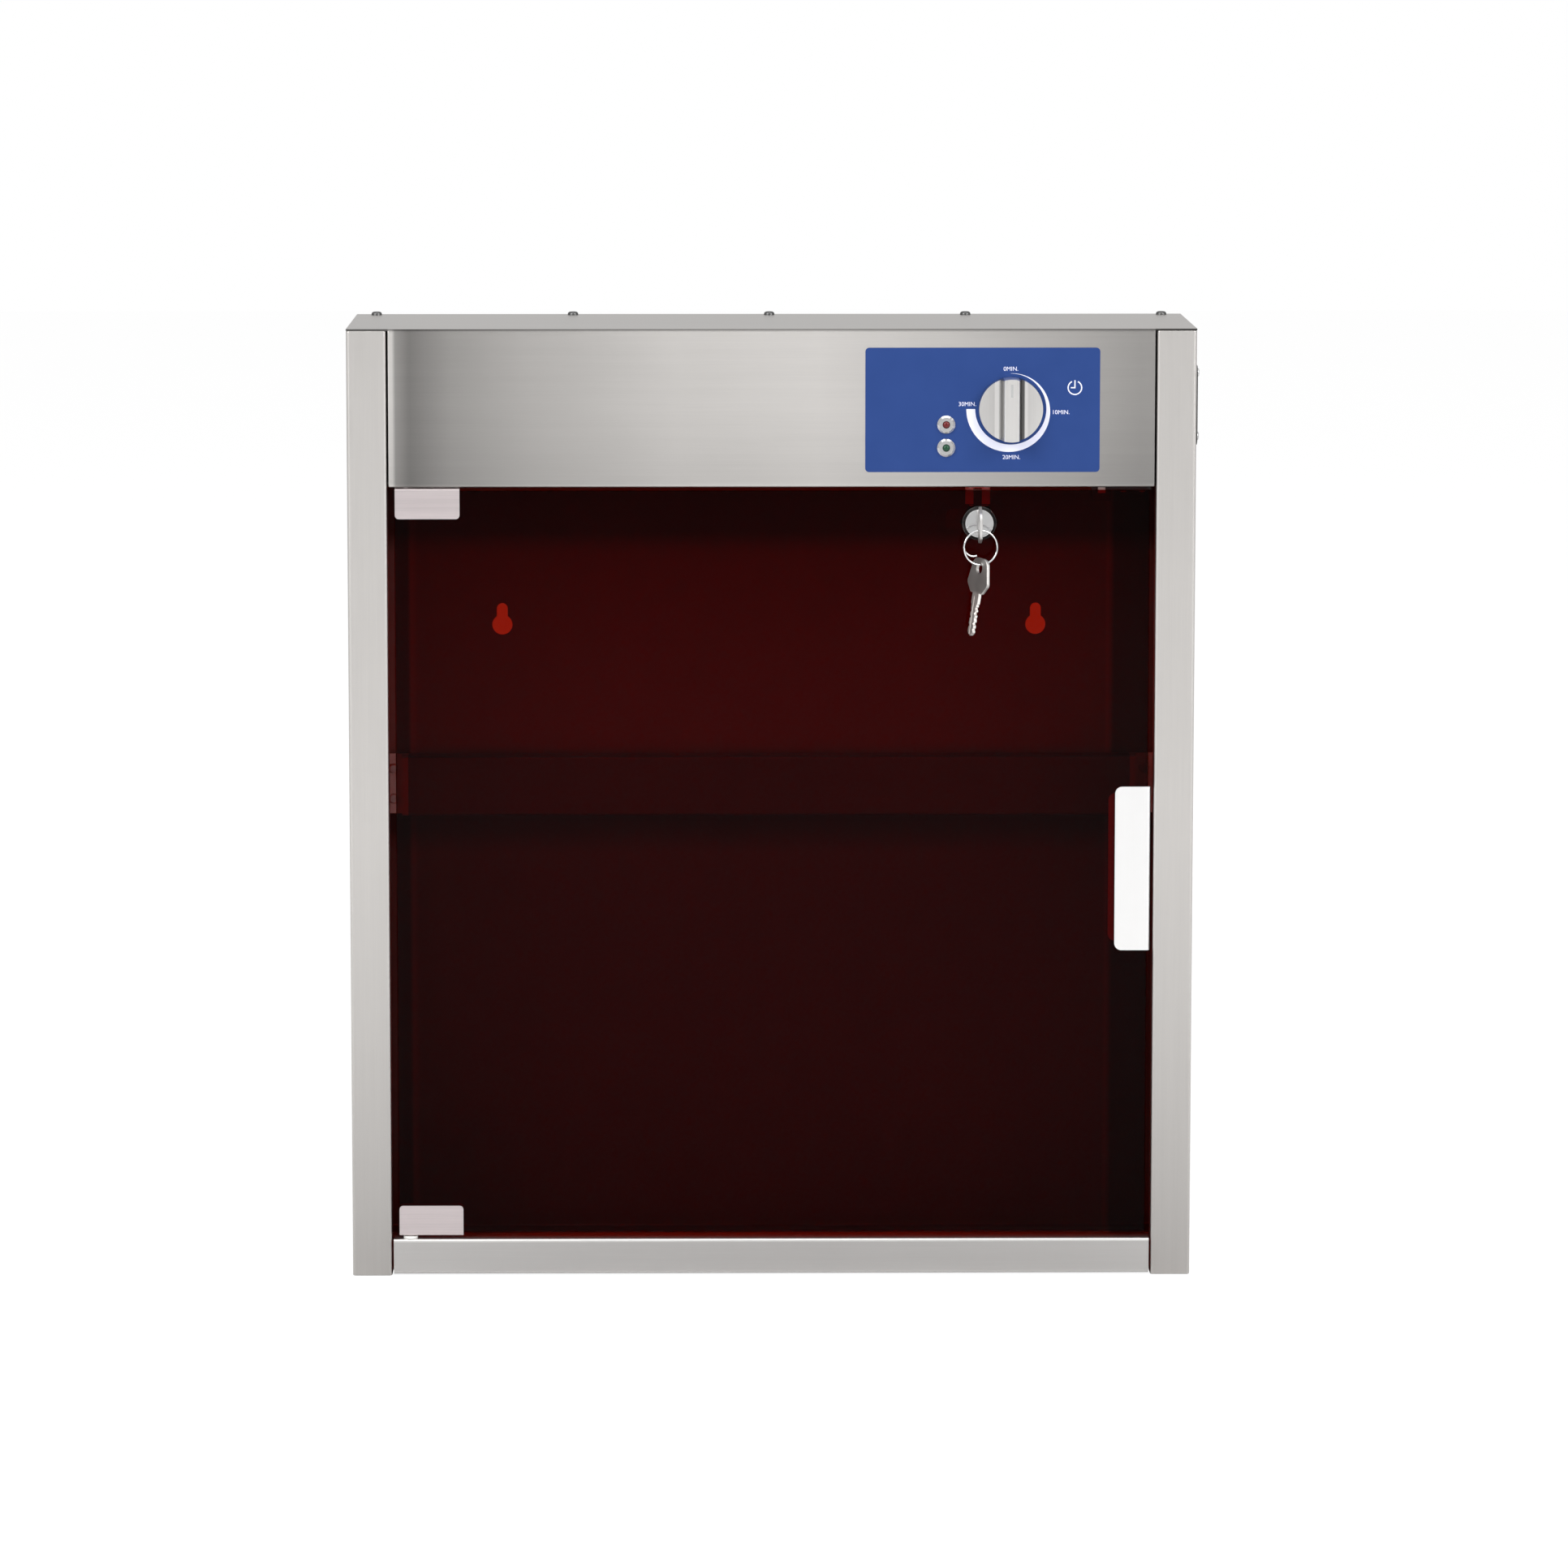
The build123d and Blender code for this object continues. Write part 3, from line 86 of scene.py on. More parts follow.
class Wire:
    """A socket of a node tree that does arithmetic: each operator adds one Math node."""

    def __init__(self, graph, socket):
        self.graph = graph
        self.socket = socket

    def __add__(self, other):
        return self.graph.maths("ADD", self, other)

    __radd__ = __add__

    def __sub__(self, other):
        return self.graph.maths("SUBTRACT", self, other)

    def __rsub__(self, other):
        return self.graph.maths("SUBTRACT", other, self)

    def __mul__(self, other):
        return self.graph.maths("MULTIPLY", self, other)

    __rmul__ = __mul__

    def __truediv__(self, other):
        return self.graph.maths("DIVIDE", self, other)

    def __pow__(self, other):
        return self.graph.maths("POWER", self, other)

    def __lt__(self, other):
        return self.graph.maths("LESS_THAN", self, other)

    def __gt__(self, other):
        return self.graph.maths("GREATER_THAN", self, other)


class Graph:
    """A shader or geometry node tree that is being built."""

    def __init__(self, tree):
        self.tree = tree

    def add(self, kind, settings=None, values=None, output=0):
        """Adds a node, makes its settings, fills its sockets and gives one of its outputs."""
        node = self.tree.nodes.new(kind)
        for name, value in (settings or {}).items():
            if name == "stops":
                self.fill_ramp(node.color_ramp, value)
            else:
                setattr(node, name, value)
        for key, value in (values or {}).items():
            for item in value if isinstance(value, list) else [value]:
                if isinstance(item, Wire):
                    self.tree.links.new(item.socket, node.inputs[key])
                else:
                    node.inputs[key].default_value = item
        return Wire(self, node.outputs[output]) if node.outputs else None

    @staticmethod
    def fill_ramp(ramp, stops):
        """Sets a colour ramp's stops from pairs of a position and a grey level."""
        while len(ramp.elements) < len(stops):
            ramp.elements.new(0.5)
        for element, (position, level) in zip(ramp.elements, stops):
            element.position = position
            element.color = (level, level, level, 1)

    def maths(self, operation, *values):
        """The result of a Math node."""
        return self.add("ShaderNodeMath", {"operation": operation}, dict(enumerate(values)))

    def part(self, vector, axis):
        """One coordinate of a vector."""
        return self.add("ShaderNodeSeparateXYZ", None, {0: vector}, axis)

    def place(self):
        """The point's place on the piece, in metres."""
        return self.add("ShaderNodeTexCoord", output="Object")

    def noise(self, place, scale, detail=2.0, roughness=0.5, stretch=(1, 1, 1)):
        """Noise of about this many features in a metre, stretched along an axis, from 0 to 1."""
        fitted = self.add("ShaderNodeMapping", None, {"Vector": place, "Scale": stretch})
        values = {"Vector": fitted, "Scale": scale, "Detail": detail, "Roughness": roughness}
        return self.add("ShaderNodeTexNoise", None, values, "Fac")

    def blend(self, share, first, second):
        """Mixes two colours: the Mix node takes them at inputs 6 and 7 and gives output 2."""
        values = {"Factor": share, 6: first, 7: second}
        return self.add("ShaderNodeMix", {"data_type": "RGBA"}, values, 2)

    def ramp(self, value, *stops):
        """Maps a value through grey stops."""
        return self.add("ShaderNodeValToRGB", {"stops": stops}, {"Fac": value})

    def bump(self, height, depth, strength=1.0):
        """A normal for a relief of this depth in metres."""
        values = {"Height": height, "Distance": depth, "Strength": strength}
        return self.add("ShaderNodeBump", None, values)


def shader(name):
    """A new material and its empty graph."""
    material = bpy.data.materials.new(name)
    material.use_nodes = True
    material.node_tree.nodes.clear()
    return material, Graph(material.node_tree)


def close(graph, surface):
    """Sends a surface to the material's output."""
    graph.add("ShaderNodeOutputMaterial", None, {"Surface": surface})


def opaque(name, values, build):
    """A material with one Principled surface; build adds the sockets that vary."""
    material, graph = shader(name)
    sockets = dict(values)
    sockets.update(build(graph, graph.place()))
    close(graph, graph.add("ShaderNodeBsdfPrincipled", None, sockets))
    return material


def grey(level, warmth=0.0):
    """A linear grey, a little warmer or cooler."""
    return (level * (1 + warmth), level, level * (1 - warmth), 1)


def brushed_steel(name, colour, along, roughness, grain=1.0, painted_fades=()):
    """Stainless steel brushed along X or Z, with hair lines, longer streaks and faint wipes; each
    fade darkens it along one axis with painted shade and painted reflection."""
    stretch = (0.012, 1, 1) if along == "X" else (1, 1, 0.012)
    dark = tuple(part * (1 - 0.10 * grain) for part in colour[:3]) + (1,)
    light = tuple(min(1, part * (1 + 0.07 * grain)) for part in colour[:3]) + (1,)

    def build(graph, place):
        hair = graph.noise(place, 1400, 3, 0.6, stretch)
        streak = graph.noise(place, 240, 2, 0.5, stretch)
        wipe = graph.noise(place, 9, 3, 0.5)
        tone = hair * 0.5 + streak * 0.35 + wipe * 0.15
        relief = hair * 0.7 + streak * 0.3
        return {
            "Base Color": toned(graph, place, graph.blend(tone, dark, light), painted_fades),
            "Roughness": roughness - 0.05 + hair * 0.06 + wipe * 0.06,
            "Normal": graph.bump(relief, 0.00002 * grain, 0.6),
        }

    return opaque(name, {"Metallic": 1.0}, build)


def faded(graph, place, fade):
    """The level of a fade at a place, from 0 to 1."""
    start = fade.stops[0][0]
    span = fade.stops[-1][0] - start
    share = (graph.part(place, fade.axis) - start) / span
    tone = graph.ramp(share, *(((spot - start) / span, level) for spot, level in fade.stops))
    behind = graph.part(place, "Y") > fade.face
    rest = fade.rest
    if fade.lining is not None:
        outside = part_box("right_side_panel")[1][0]
        inner = graph.maths("ABSOLUTE", graph.part(place, "X")) < outside - HALF_SHEET
        rest = inner * (fade.lining - fade.rest) + fade.rest
    return tone * (1 - behind) + behind * rest


def toned(graph, place, colour, painted_fades):
    """A colour darkened by the painted shade of every fade."""
    for fade in painted_fades:
        colour = graph.blend(faded(graph, place, fade), (0, 0, 0, 1), colour)
    return colour


def metal_with_painted_rings(name, colour, roughness, middle, stops):
    """Polished metal with a painted reflection in rings: its tone goes by the distance from a point
    of the door's face, in metres.
    """

    def build(graph, place):
        x = graph.part(place, "X") - middle[0]
        z = graph.part(place, "Z") - middle[1]
        away = graph.maths("SQRT", x * x + z * z) / stops[-1][0]
        tone = graph.ramp(away, *((radius / stops[-1][0], level) for radius, level in stops))
        haze = graph.noise(place, 160, 3)
        return {
            "Base Color": graph.blend(tone, (0, 0, 0, 1), colour),
            "Roughness": roughness + haze * 0.04,
        }

    return opaque(name, {"Metallic": 1.0}, build)


def polished_metal(name, colour, roughness, cloud=0.04, painted_fades=()):
    """Polished or plated metal with faint clouding and fine handling scratches."""
    dull = tuple(part * 0.9 for part in colour[:3]) + (1,)

    def build(graph, place):
        haze = graph.noise(place, 160, 3)
        scratch = graph.noise(place, 900, 2, 0.7, (1, 0.15, 0.4))
        return {
            "Base Color": toned(graph, place, graph.blend(haze, dull, colour), painted_fades),
            "Roughness": roughness + haze * cloud + scratch * 0.03,
            "Normal": graph.bump(scratch, 0.000006, 0.4),
        }

    return opaque(name, {"Metallic": 1.0}, build)


def moulded_plastic(name, colour, roughness, grain=0.00002, grain_scale=2600, bending=1.5):
    """Moulded plastic with a fine spark-eroded grain and slight unevenness of colour."""
    pale = tuple(min(1, part * 1.12 + 0.003) for part in colour[:3]) + (1,)

    def build(graph, place):
        grit = graph.noise(place, grain_scale, 2, 0.6)
        cloud = graph.noise(place, 60, 2)
        return {
            "Base Color": graph.blend(cloud, colour, pale),
            "Roughness": roughness + grit * 0.1 + cloud * 0.05,
            "Normal": graph.bump(grit, grain, 0.5),
        }

    return opaque(name, {"IOR": bending}, build)


def tinted_glass(name, tint, lamp_tint, roughness, bending):
    """A see-through sheet or tube that lets lamps through, with faint wiping marks."""
    material, graph = shader(name)
    place = graph.place()
    smear = graph.noise(place, 14, 4, 0.6, (1, 1, 0.35))
    marks = graph.ramp(smear, (0.45, 0.0), (0.75, 1.0))
    deep = tuple(part * 0.88 for part in tint[:3]) + (1,)
    body = graph.add(
        "ShaderNodeBsdfPrincipled",
        None,
        {
            "Base Color": graph.blend(smear, deep, tint),
            "Roughness": roughness + marks * 0.03,
            "IOR": bending,
            "Transmission Weight": 1.0,
        },
    )
    clear = graph.add("ShaderNodeBsdfTransparent", None, {"Color": lamp_tint})
    for_lamps = graph.add("ShaderNodeLightPath", output="Is Shadow Ray")
    close(graph, graph.add("ShaderNodeMixShader", None, {0: for_lamps, 1: body, 2: clear}))
    return material


def dress(material, *nodes):
    """Gives a finish to CAD nodes by their material slots."""
    for node in nodes:
        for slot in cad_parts[node].material_slots:
            slot.material = material


def add_piece(name, mesh, material, body):
    """Puts a finished mesh into the scene as a piece that rides on a body."""
    mesh.materials.clear()
    mesh.materials.append(material)
    piece = bpy.data.objects.new(name, mesh)
    bpy.context.scene.collection.objects.link(piece)
    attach(piece, body)
    return piece


def grown(name, tree, inputs, base=None):
    """The plain mesh that a geometry node tree makes with these inputs, from a base mesh if any."""
    holder = bpy.data.objects.new(name, base or bpy.data.meshes.new(name))
    bpy.context.scene.collection.objects.link(holder)
    modifier = holder.modifiers.new("Build", "NODES")
    modifier.node_group = tree
    for item in tree.interface.items_tree:
        if item.item_type == "SOCKET" and item.in_out == "INPUT" and item.name in inputs:
            modifier[item.identifier] = inputs[item.name]
    evaluated = holder.evaluated_get(bpy.context.evaluated_depsgraph_get())
    mesh = bpy.data.meshes.new_from_object(evaluated)
    bpy.data.objects.remove(holder)
    mesh.name = name
    if not mesh.polygons:
        raise RuntimeError(f"{name} came out empty")
    return mesh


def node_tree(name, *inputs):
    """A geometry node tree with named inputs: the tree, its graph and its inputs as wires."""
    tree = bpy.data.node_groups.new(name, "GeometryNodeTree")
    for label, kind, default in inputs:
        socket = tree.interface.new_socket(label, in_out="INPUT", socket_type="NodeSocket" + kind)
        if default is not None:
            socket.default_value = default
    tree.interface.new_socket("Geometry", in_out="OUTPUT", socket_type="NodeSocketGeometry")
    graph = Graph(tree)
    entry = tree.nodes.new("NodeGroupInput")
    return tree, graph, {label: Wire(graph, entry.outputs[label]) for label, *rest in inputs}


def end_tree(graph, geometry, material):
    """Realizes what a tree made, gives it its material and sends it out."""
    real = graph.add("GeometryNodeRealizeInstances", None, {"Geometry": geometry})
    done = graph.add("GeometryNodeSetMaterial", None, {"Geometry": real, "Material": material})
    graph.add("NodeGroupOutput", None, {"Geometry": done})


def widening_band_tree():
    """A flat band round a dial that starts at nothing and widens clockwise."""
    tree, graph, given = node_tree(
        "Widening band",
        ("Inner radius", "Float", 0.0222),
        ("Growth", "Float", 0.0054),
        ("Shape", "Float", 1.3),
        ("Sweep", "Float", math.radians(270)),
        ("Thickness", "Float", 0.00004),
        ("Steps", "Int", 160),
        ("Material", "Material", None),
    )
    strip = {"Size X": 1.0, "Size Y": 1.0, "Vertices X": given["Steps"], "Vertices Y": 2}
    grid = graph.add("GeometryNodeMeshGrid", None, strip)
    here = graph.add("GeometryNodeInputPosition")
    along = graph.part(here, "X") + 0.5
    across = graph.part(here, "Y") + 0.5
    swell = graph.maths("SINE", along * (math.pi / 2)) ** given["Shape"]
    radius = given["Inner radius"] + across * (swell * given["Growth"] + 0.0001)
    angle = along * given["Sweep"]
    x = radius * graph.maths("SINE", angle)
    z = radius * graph.maths("COSINE", angle)
    spot = graph.add("ShaderNodeCombineXYZ", None, {"X": x, "Z": z})
    flat = graph.add("GeometryNodeSetPosition", None, {"Geometry": grid, "Position": spot})
    rise = {"Mesh": flat, "Offset Scale": given["Thickness"], "Individual": False}
    front = graph.add("GeometryNodeExtrudeMesh", None, rise)
    back = graph.add("GeometryNodeFlipFaces", None, {"Mesh": flat})
    sides = graph.add("GeometryNodeJoinGeometry", None, {"Geometry": [front, back]})
    welded = graph.add("GeometryNodeMergeByDistance", None, {"Geometry": sides, "Distance": 1e-6})
    end_tree(graph, welded, given["Material"])
    return tree


def screw_tree():
    """Pan-head screws with a cross recess, one on each point, standing along the point's axis."""
    tree, graph, given = node_tree(
        "Cross-head screws",
        ("Geometry", "Geometry", None),
        ("Head radius", "Float", 0.0034),
        ("Head height", "Float", 0.0022),
        ("Shank radius", "Float", 0.002),
        ("Shank length", "Float", 0.008),
        ("Recess", "Float", 0.55),
        ("Seed", "Int", 4),
        ("Material", "Material", None),
    )
    ball = graph.add("GeometryNodeMeshUVSphere", None, {"Segments": 32, "Rings": 24, "Radius": 1.0})
    here = graph.add("GeometryNodeInputPosition")
    x, y, z = (graph.part(here, axis) for axis in "XYZ")
    wide = graph.maths("SQRT", x * x + y * y)
    swell = graph.maths("MAXIMUM", wide, 0.001) ** -0.45 * given["Head radius"]
    rise = graph.maths("MAXIMUM", z, 0.0) ** 0.75 * given["Head height"]
    spot = graph.add("ShaderNodeCombineXYZ", None, {"X": x * swell, "Y": y * swell, "Z": rise})
    head = graph.add("GeometryNodeSetPosition", None, {"Geometry": ball, "Position": spot})
    long = given["Head radius"] * given["Recess"] * 2
    narrow = long * 0.24
    deep = given["Head height"] * 1.3
    bars = []
    for size in ({"X": long, "Y": narrow}, {"X": narrow, "Y": long}):
        box = graph.add("ShaderNodeCombineXYZ", None, {**size, "Z": deep})
        bars.append(graph.add("GeometryNodeMeshCube", None, {"Size": box}))
    bars = graph.add("GeometryNodeJoinGeometry", None, {"Geometry": bars})
    lift = graph.add("ShaderNodeCombineXYZ", None, {"Z": given["Head height"] + deep * 0.05})
    cross = graph.add("GeometryNodeTransform", None, {"Geometry": bars, "Translation": lift})
    cut = {"operation": "DIFFERENCE"}
    head = graph.add("GeometryNodeMeshBoolean", cut, {"Mesh 1": head, "Mesh 2": [cross]})
    rod = {"Vertices": 24, "Radius": given["Shank radius"], "Depth": given["Shank length"]}
    shank = graph.add("GeometryNodeMeshCylinder", None, rod)
    drop = graph.add("ShaderNodeCombineXYZ", None, {"Z": given["Shank length"] * -0.5})
    shank = graph.add("GeometryNodeTransform", None, {"Geometry": shank, "Translation": drop})
    screw = graph.add("GeometryNodeJoinGeometry", None, {"Geometry": [head, shank]})
    named = {"data_type": "FLOAT_VECTOR"}
    axis = graph.add("GeometryNodeInputNamedAttribute", named, {"Name": "axis"})
    stand = graph.add("FunctionNodeAlignRotationToVector", {"axis": "Z"}, {"Vector": axis})
    number = {"data_type": "FLOAT"}
    limits = {"Min": 0.0, "Max": math.pi / 2, "Seed": given["Seed"]}
    turn = graph.add("FunctionNodeRandomValue", number, limits, "Value")
    spin = graph.add("FunctionNodeAxisAngleToRotation", None, {"Axis": (0, 0, 1), "Angle": turn})
    local = {"rotation_space": "LOCAL"}
    stand = graph.add("FunctionNodeRotateRotation", local, {"Rotation": stand, "Rotate By": spin})
    many = {"Points": given["Geometry"], "Instance": screw, "Rotation": stand}
    end_tree(graph, graph.add("GeometryNodeInstanceOnPoints", None, many), given["Material"])
    return tree


def wire_ring_tree():
    """A ring of springy wire whose ends pass each other, one of them bent inwards."""
    tree, graph, given = node_tree(
        "Wire ring",
        ("Radius", "Float", 0.0107),
        ("Wire radius", "Float", 0.0006),
        ("Start", "Float", math.radians(180)),
        ("Overlap", "Float", math.radians(65)),
        ("Tuck", "Float", 0.0052),
        ("Steps", "Int", 140),
        ("Material", "Material", None),
    )
    line = graph.add("GeometryNodeMeshLine", None, {"Count": given["Steps"]})
    index = graph.add("GeometryNodeInputIndex")
    along = index / (given["Steps"] - 1)
    sweep = given["Overlap"] + 2 * math.pi
    angle = given["Start"] + along * sweep
    tucked = graph.maths("MAXIMUM", along * sweep - 2 * math.pi, 0.0) / given["Overlap"]
    radius = given["Radius"] - tucked ** 1.3 * given["Tuck"]
    halfway = along * 2 - 1
    side = halfway * halfway * halfway * given["Wire radius"] * 1.5
    x = radius * graph.maths("COSINE", angle)
    z = radius * graph.maths("SINE", angle)
    spot = graph.add("ShaderNodeCombineXYZ", None, {"X": x, "Y": side, "Z": z})
    path = graph.add("GeometryNodeSetPosition", None, {"Geometry": line, "Position": spot})
    path = graph.add("GeometryNodeMeshToCurve", None, {"Mesh": path})
    round_wire = {"Resolution": 16, "Radius": given["Wire radius"]}
    profile = graph.add("GeometryNodeCurvePrimitiveCircle", None, round_wire)
    swept = {"Curve": path, "Profile Curve": profile, "Fill Caps": True}
    end_tree(graph, graph.add("GeometryNodeCurveToMesh", None, swept), given["Material"])
    return tree


def smoothed(mesh, angle=35):
    """Shades a mesh smooth, with sharp edges where its faces turn by more than the angle."""
    mesh.polygons.foreach_set("use_smooth", [True] * len(mesh.polygons))
    mesh.set_sharp_from_angle(angle=math.radians(angle))
    mesh.update()
    return mesh


def joined(name, meshes):
    """One mesh from several."""
    gathered = bmesh.new()
    for mesh in meshes:
        gathered.from_mesh(mesh)
        bpy.data.meshes.remove(mesh)
    result = bpy.data.meshes.new(name)
    gathered.to_mesh(result)
    gathered.free()
    return result


def lettering(words, height, thickness):
    """Words as a flat mesh facing the viewer, centred on the origin."""
    curve = bpy.data.curves.new(words, "FONT")
    curve.body = words
    curve.align_x = "CENTER"
    curve.align_y = "CENTER"
    curve.size = height * TEXT_OVER_CAPITAL
    curve.extrude = thickness / 2
    curve.resolution_u = 4
    holder = bpy.data.objects.new(words, curve)
    bpy.context.scene.collection.objects.link(holder)
    evaluated = holder.evaluated_get(bpy.context.evaluated_depsgraph_get())
    mesh = bpy.data.meshes.new_from_object(evaluated)
    bpy.data.objects.remove(holder)
    bpy.data.curves.remove(curve)
    mesh.transform(Matrix.Rotation(math.radians(90), 4, "X"))
    return mesh


def flat_shape(outlines, thickness):
    """Anticlockwise outlines in X and Z, raised towards the viewer by a thickness."""
    corners = []
    faces = []
    for outline in outlines:
        count, first = len(outline), len(corners)
        corners += [(x, 0, z) for x, z in outline]
        corners += [(x, -thickness, z) for x, z in outline]
        back = list(range(first, first + count))
        front = list(range(first + count, first + 2 * count))
        faces += [back[::-1], front]
        faces += [(back[i - 1], back[i], front[i], front[i - 1]) for i in range(count)]
    mesh = bpy.data.meshes.new("shape")
    mesh.from_pydata(corners, [], faces)
    return mesh


def arc_outline(inner, outer, start, end, steps):
    """The anticlockwise outline of a strip of a ring between two angles, in degrees clockwise from
    the top."""
    angles = [math.radians(start + (end - start) * step / steps) for step in range(steps + 1)]
    out = [(outer * math.sin(angle), outer * math.cos(angle)) for angle in reversed(angles)]
    return out + [(inner * math.sin(angle), inner * math.cos(angle)) for angle in angles]


def clock_symbol(radius, stroke, thickness):
    """A clock: a ring open at the top, with its hands at twelve and nine."""
    gap = 26
    half = stroke / 2
    upright = [(-half, -half), (half, -half), (half, radius * 1.02), (-half, radius * 1.02)]
    level = [(-radius * 0.55, -half), (-half, -half), (-half, half), (-radius * 0.55, half)]
    ring = arc_outline(radius - stroke, radius, gap, 360 - gap, steps=48)
    return flat_shape([ring, upright, level], thickness)


class SterilizerDial(bpy.types.PropertyGroup):
    """Sizes of the dial's print."""

    band_radius: FloatProperty(
        name="Band radius",
        description="Inner radius of the dial's band",
        default=0.0222,
        unit="LENGTH",
    )
    band_growth: FloatProperty(
        name="Band growth",
        description="Width of the band at its wide end",
        default=0.0054,
        unit="LENGTH",
    )
    letter_height: FloatProperty(
        name="Letter height", description="Height of the capitals", default=0.0026, unit="LENGTH"
    )
    symbol_radius: FloatProperty(
        name="Clock radius", description="Radius of the clock symbol", default=0.0046, unit="LENGTH"
    )
    ink_thickness: FloatProperty(
        name="Ink", description="Thickness of the print", default=0.00004, unit="LENGTH"
    )


class SterilizerColours(bpy.types.PropertyGroup):
    """Colours of the cabinet's finishes, linear."""

    steel: FloatVectorProperty(
        name="Steel",
        description="Brushed cabinet steel",
        default=(0.78, 0.753, 0.727),
        subtype="COLOR",
    )
    glass: FloatVectorProperty(
        name="Door",
        description="Tint of the see-through door",
        default=(0.24, 0.0065, 0.001),
        subtype="COLOR",
    )
    lamp_glass: FloatVectorProperty(
        name="Door to lamps",
        description="Tint that the lamps' light gets in the door",
        default=(0.6, 0.08, 0.03),
        subtype="COLOR",
    )
    label: FloatVectorProperty(
        name="Label",
        description="Film of the control label",
        default=(0.016, 0.045, 0.177),
        subtype="COLOR",
    )
    ink: FloatVectorProperty(
        name="Print",
        description="Print on the dial",
        default=(0.70, 0.71, 0.84),
        subtype="COLOR",
    )


class SterilizerSmallParts(bpy.types.PropertyGroup):
    """Sizes of the screws and the key ring."""

    head_radius: FloatProperty(
        name="Screw head",
        description="Radius of the top screws' heads",
        default=0.0034,
        unit="LENGTH",
    )
    head_height: FloatProperty(
        name="Head height",
        description="Height of the top screws' heads",
        default=0.0022,
        unit="LENGTH",
    )
    ring_wire: FloatProperty(
        name="Ring wire",
        description="Radius of the key ring's wire",
        default=0.00058,
        unit="LENGTH",
    )
    seed: IntProperty(name="Seed", description="Seed of the screws' turns", default=4)


def solid(colour):
    """A colour property as a socket's colour."""
    return (*colour, 1.0)


class STERILIZER_OT_sheet_metal(bpy.types.Operator):
    """Finish the cabinet's folded sheets, brushed along their length"""

    bl_idname = "sterilizer.sheet_metal"
    bl_label = "Sheet metal"

    # The header across, with painted reflection: a dark band near its left end and a bright middle;
    # and upwards, brighter with painted reflection to a painted dark line on its top fold.
    header_across = (
        (-0.2400, 1.0), (-0.2364, 1.0), (-0.2360, 0.50), (-0.226, 0.31), (-0.200, 0.50),
        (-0.150, 0.68), (-0.060, 0.92), (0.030, 1.0), (0.110, 0.86), (0.230, 0.51),
    )
    header_up = (
        (0.1015, 0.80), (0.125, 0.88), (0.155, 0.96),
        (0.1993, 1.0), (0.2001, 0.20), (0.201, 0.15),
    )
    # The front stiles upwards, darker low down with painted reflection, and the front apron with a
    # painted highlight on its top fold.
    stiles_up = ((-0.399, 0.645), (-0.280, 0.73), (-0.120, 0.84), (0.200, 0.845))
    apron_up = ((-0.399, 0.74), (-0.3778, 0.75), (-0.3772, 1.0), (-0.370, 1.0))
    # The back panel's inner face with painted shade: upwards, darker below the knife bar, past the
    # painted shadows of the knife bar and of the header near the top; across, dark sides with thin
    # painted highlights near the corners.
    back_up = (
        (-0.399, 0.40), (-0.270, 0.43), (-0.150, 0.45), (-0.134, 0.22), (-0.090, 0.22),
        (-0.080, 0.82), (0.046, 0.85), (0.060, 0.32), (0.110, 0.28),
    )
    back_across = (
        (-0.2600, 0.36), (-0.2330, 0.36), (-0.2318, 0.95), (-0.2290, 0.85), (-0.2270, 0.65),
        (0.2185, 0.65), (0.2195, 0.90), (0.2210, 0.90), (0.2220, 0.28), (0.2600, 0.26),
    )

    def execute(self, context):
        steel = solid(context.scene.sterilizer_colours.steel)
        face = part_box("top_cover")[0][1] + FRONT_SKIN
        # Painted reflection across the header's front and painted shade up it; the top behind the
        # front gets a flat painted shade.
        across = Fade("X", self.header_across, face, rest=0.75)
        up = Fade("Z", self.header_up, face)
        dress(brushed_steel("steel_header", steel, "X", 0.34, painted_fades=(across, up)), "top_cover")
        # Painted highlight on the apron's top fold; what lies behind its front gets a flat painted
        # shade.
        up = Fade("Z", self.apron_up, face, rest=0.75)
        apron = brushed_steel("steel_brushed_across", grey(0.77, 0.02), "X", 0.36, painted_fades=(up,))
        dress(apron, "bottom_panel")
        # Painted shade: the stiles darker low down, their sides behind the front a little darker and
        # the side walls' inner faces dark.
        up = Fade("Z", self.stiles_up, face, rest=0.845, lining=0.25)
        upright = brushed_steel("steel_brushed_upright", steel, "Z", 0.36, painted_fades=(up,))
        dress(upright, "left_side_panel", "right_side_panel")
        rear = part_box("back_panel")[1][1] - HALF_SHEET
        # Painted shadows and highlights on the back panel's inner face; its outer face is a flat
        # darker level.
        shades = (Fade("Z", self.back_up, rear), Fade("X", self.back_across, rear, rest=0.65))
        back = brushed_steel("steel_inside", grey(0.80, 0.02), "X", 0.42, grain=0.8, painted_fades=shades)
        dress(back, "back_panel")
        bar = brushed_steel("steel_bar", grey(0.24, 0.02), "X", 0.40, grain=0.8)
        dress(bar, "knife_bar_cover")
        bar_ends = brushed_steel("steel_bar_ends", grey(0.75, 0.02), "Z", 0.35, grain=0.8)
        dress(bar_ends, "knife_bar_brackets")
        dress(brushed_steel("steel_tray", grey(0.48), "X", 0.45, grain=0.7), "electrics_tray")
        return {"FINISHED"}


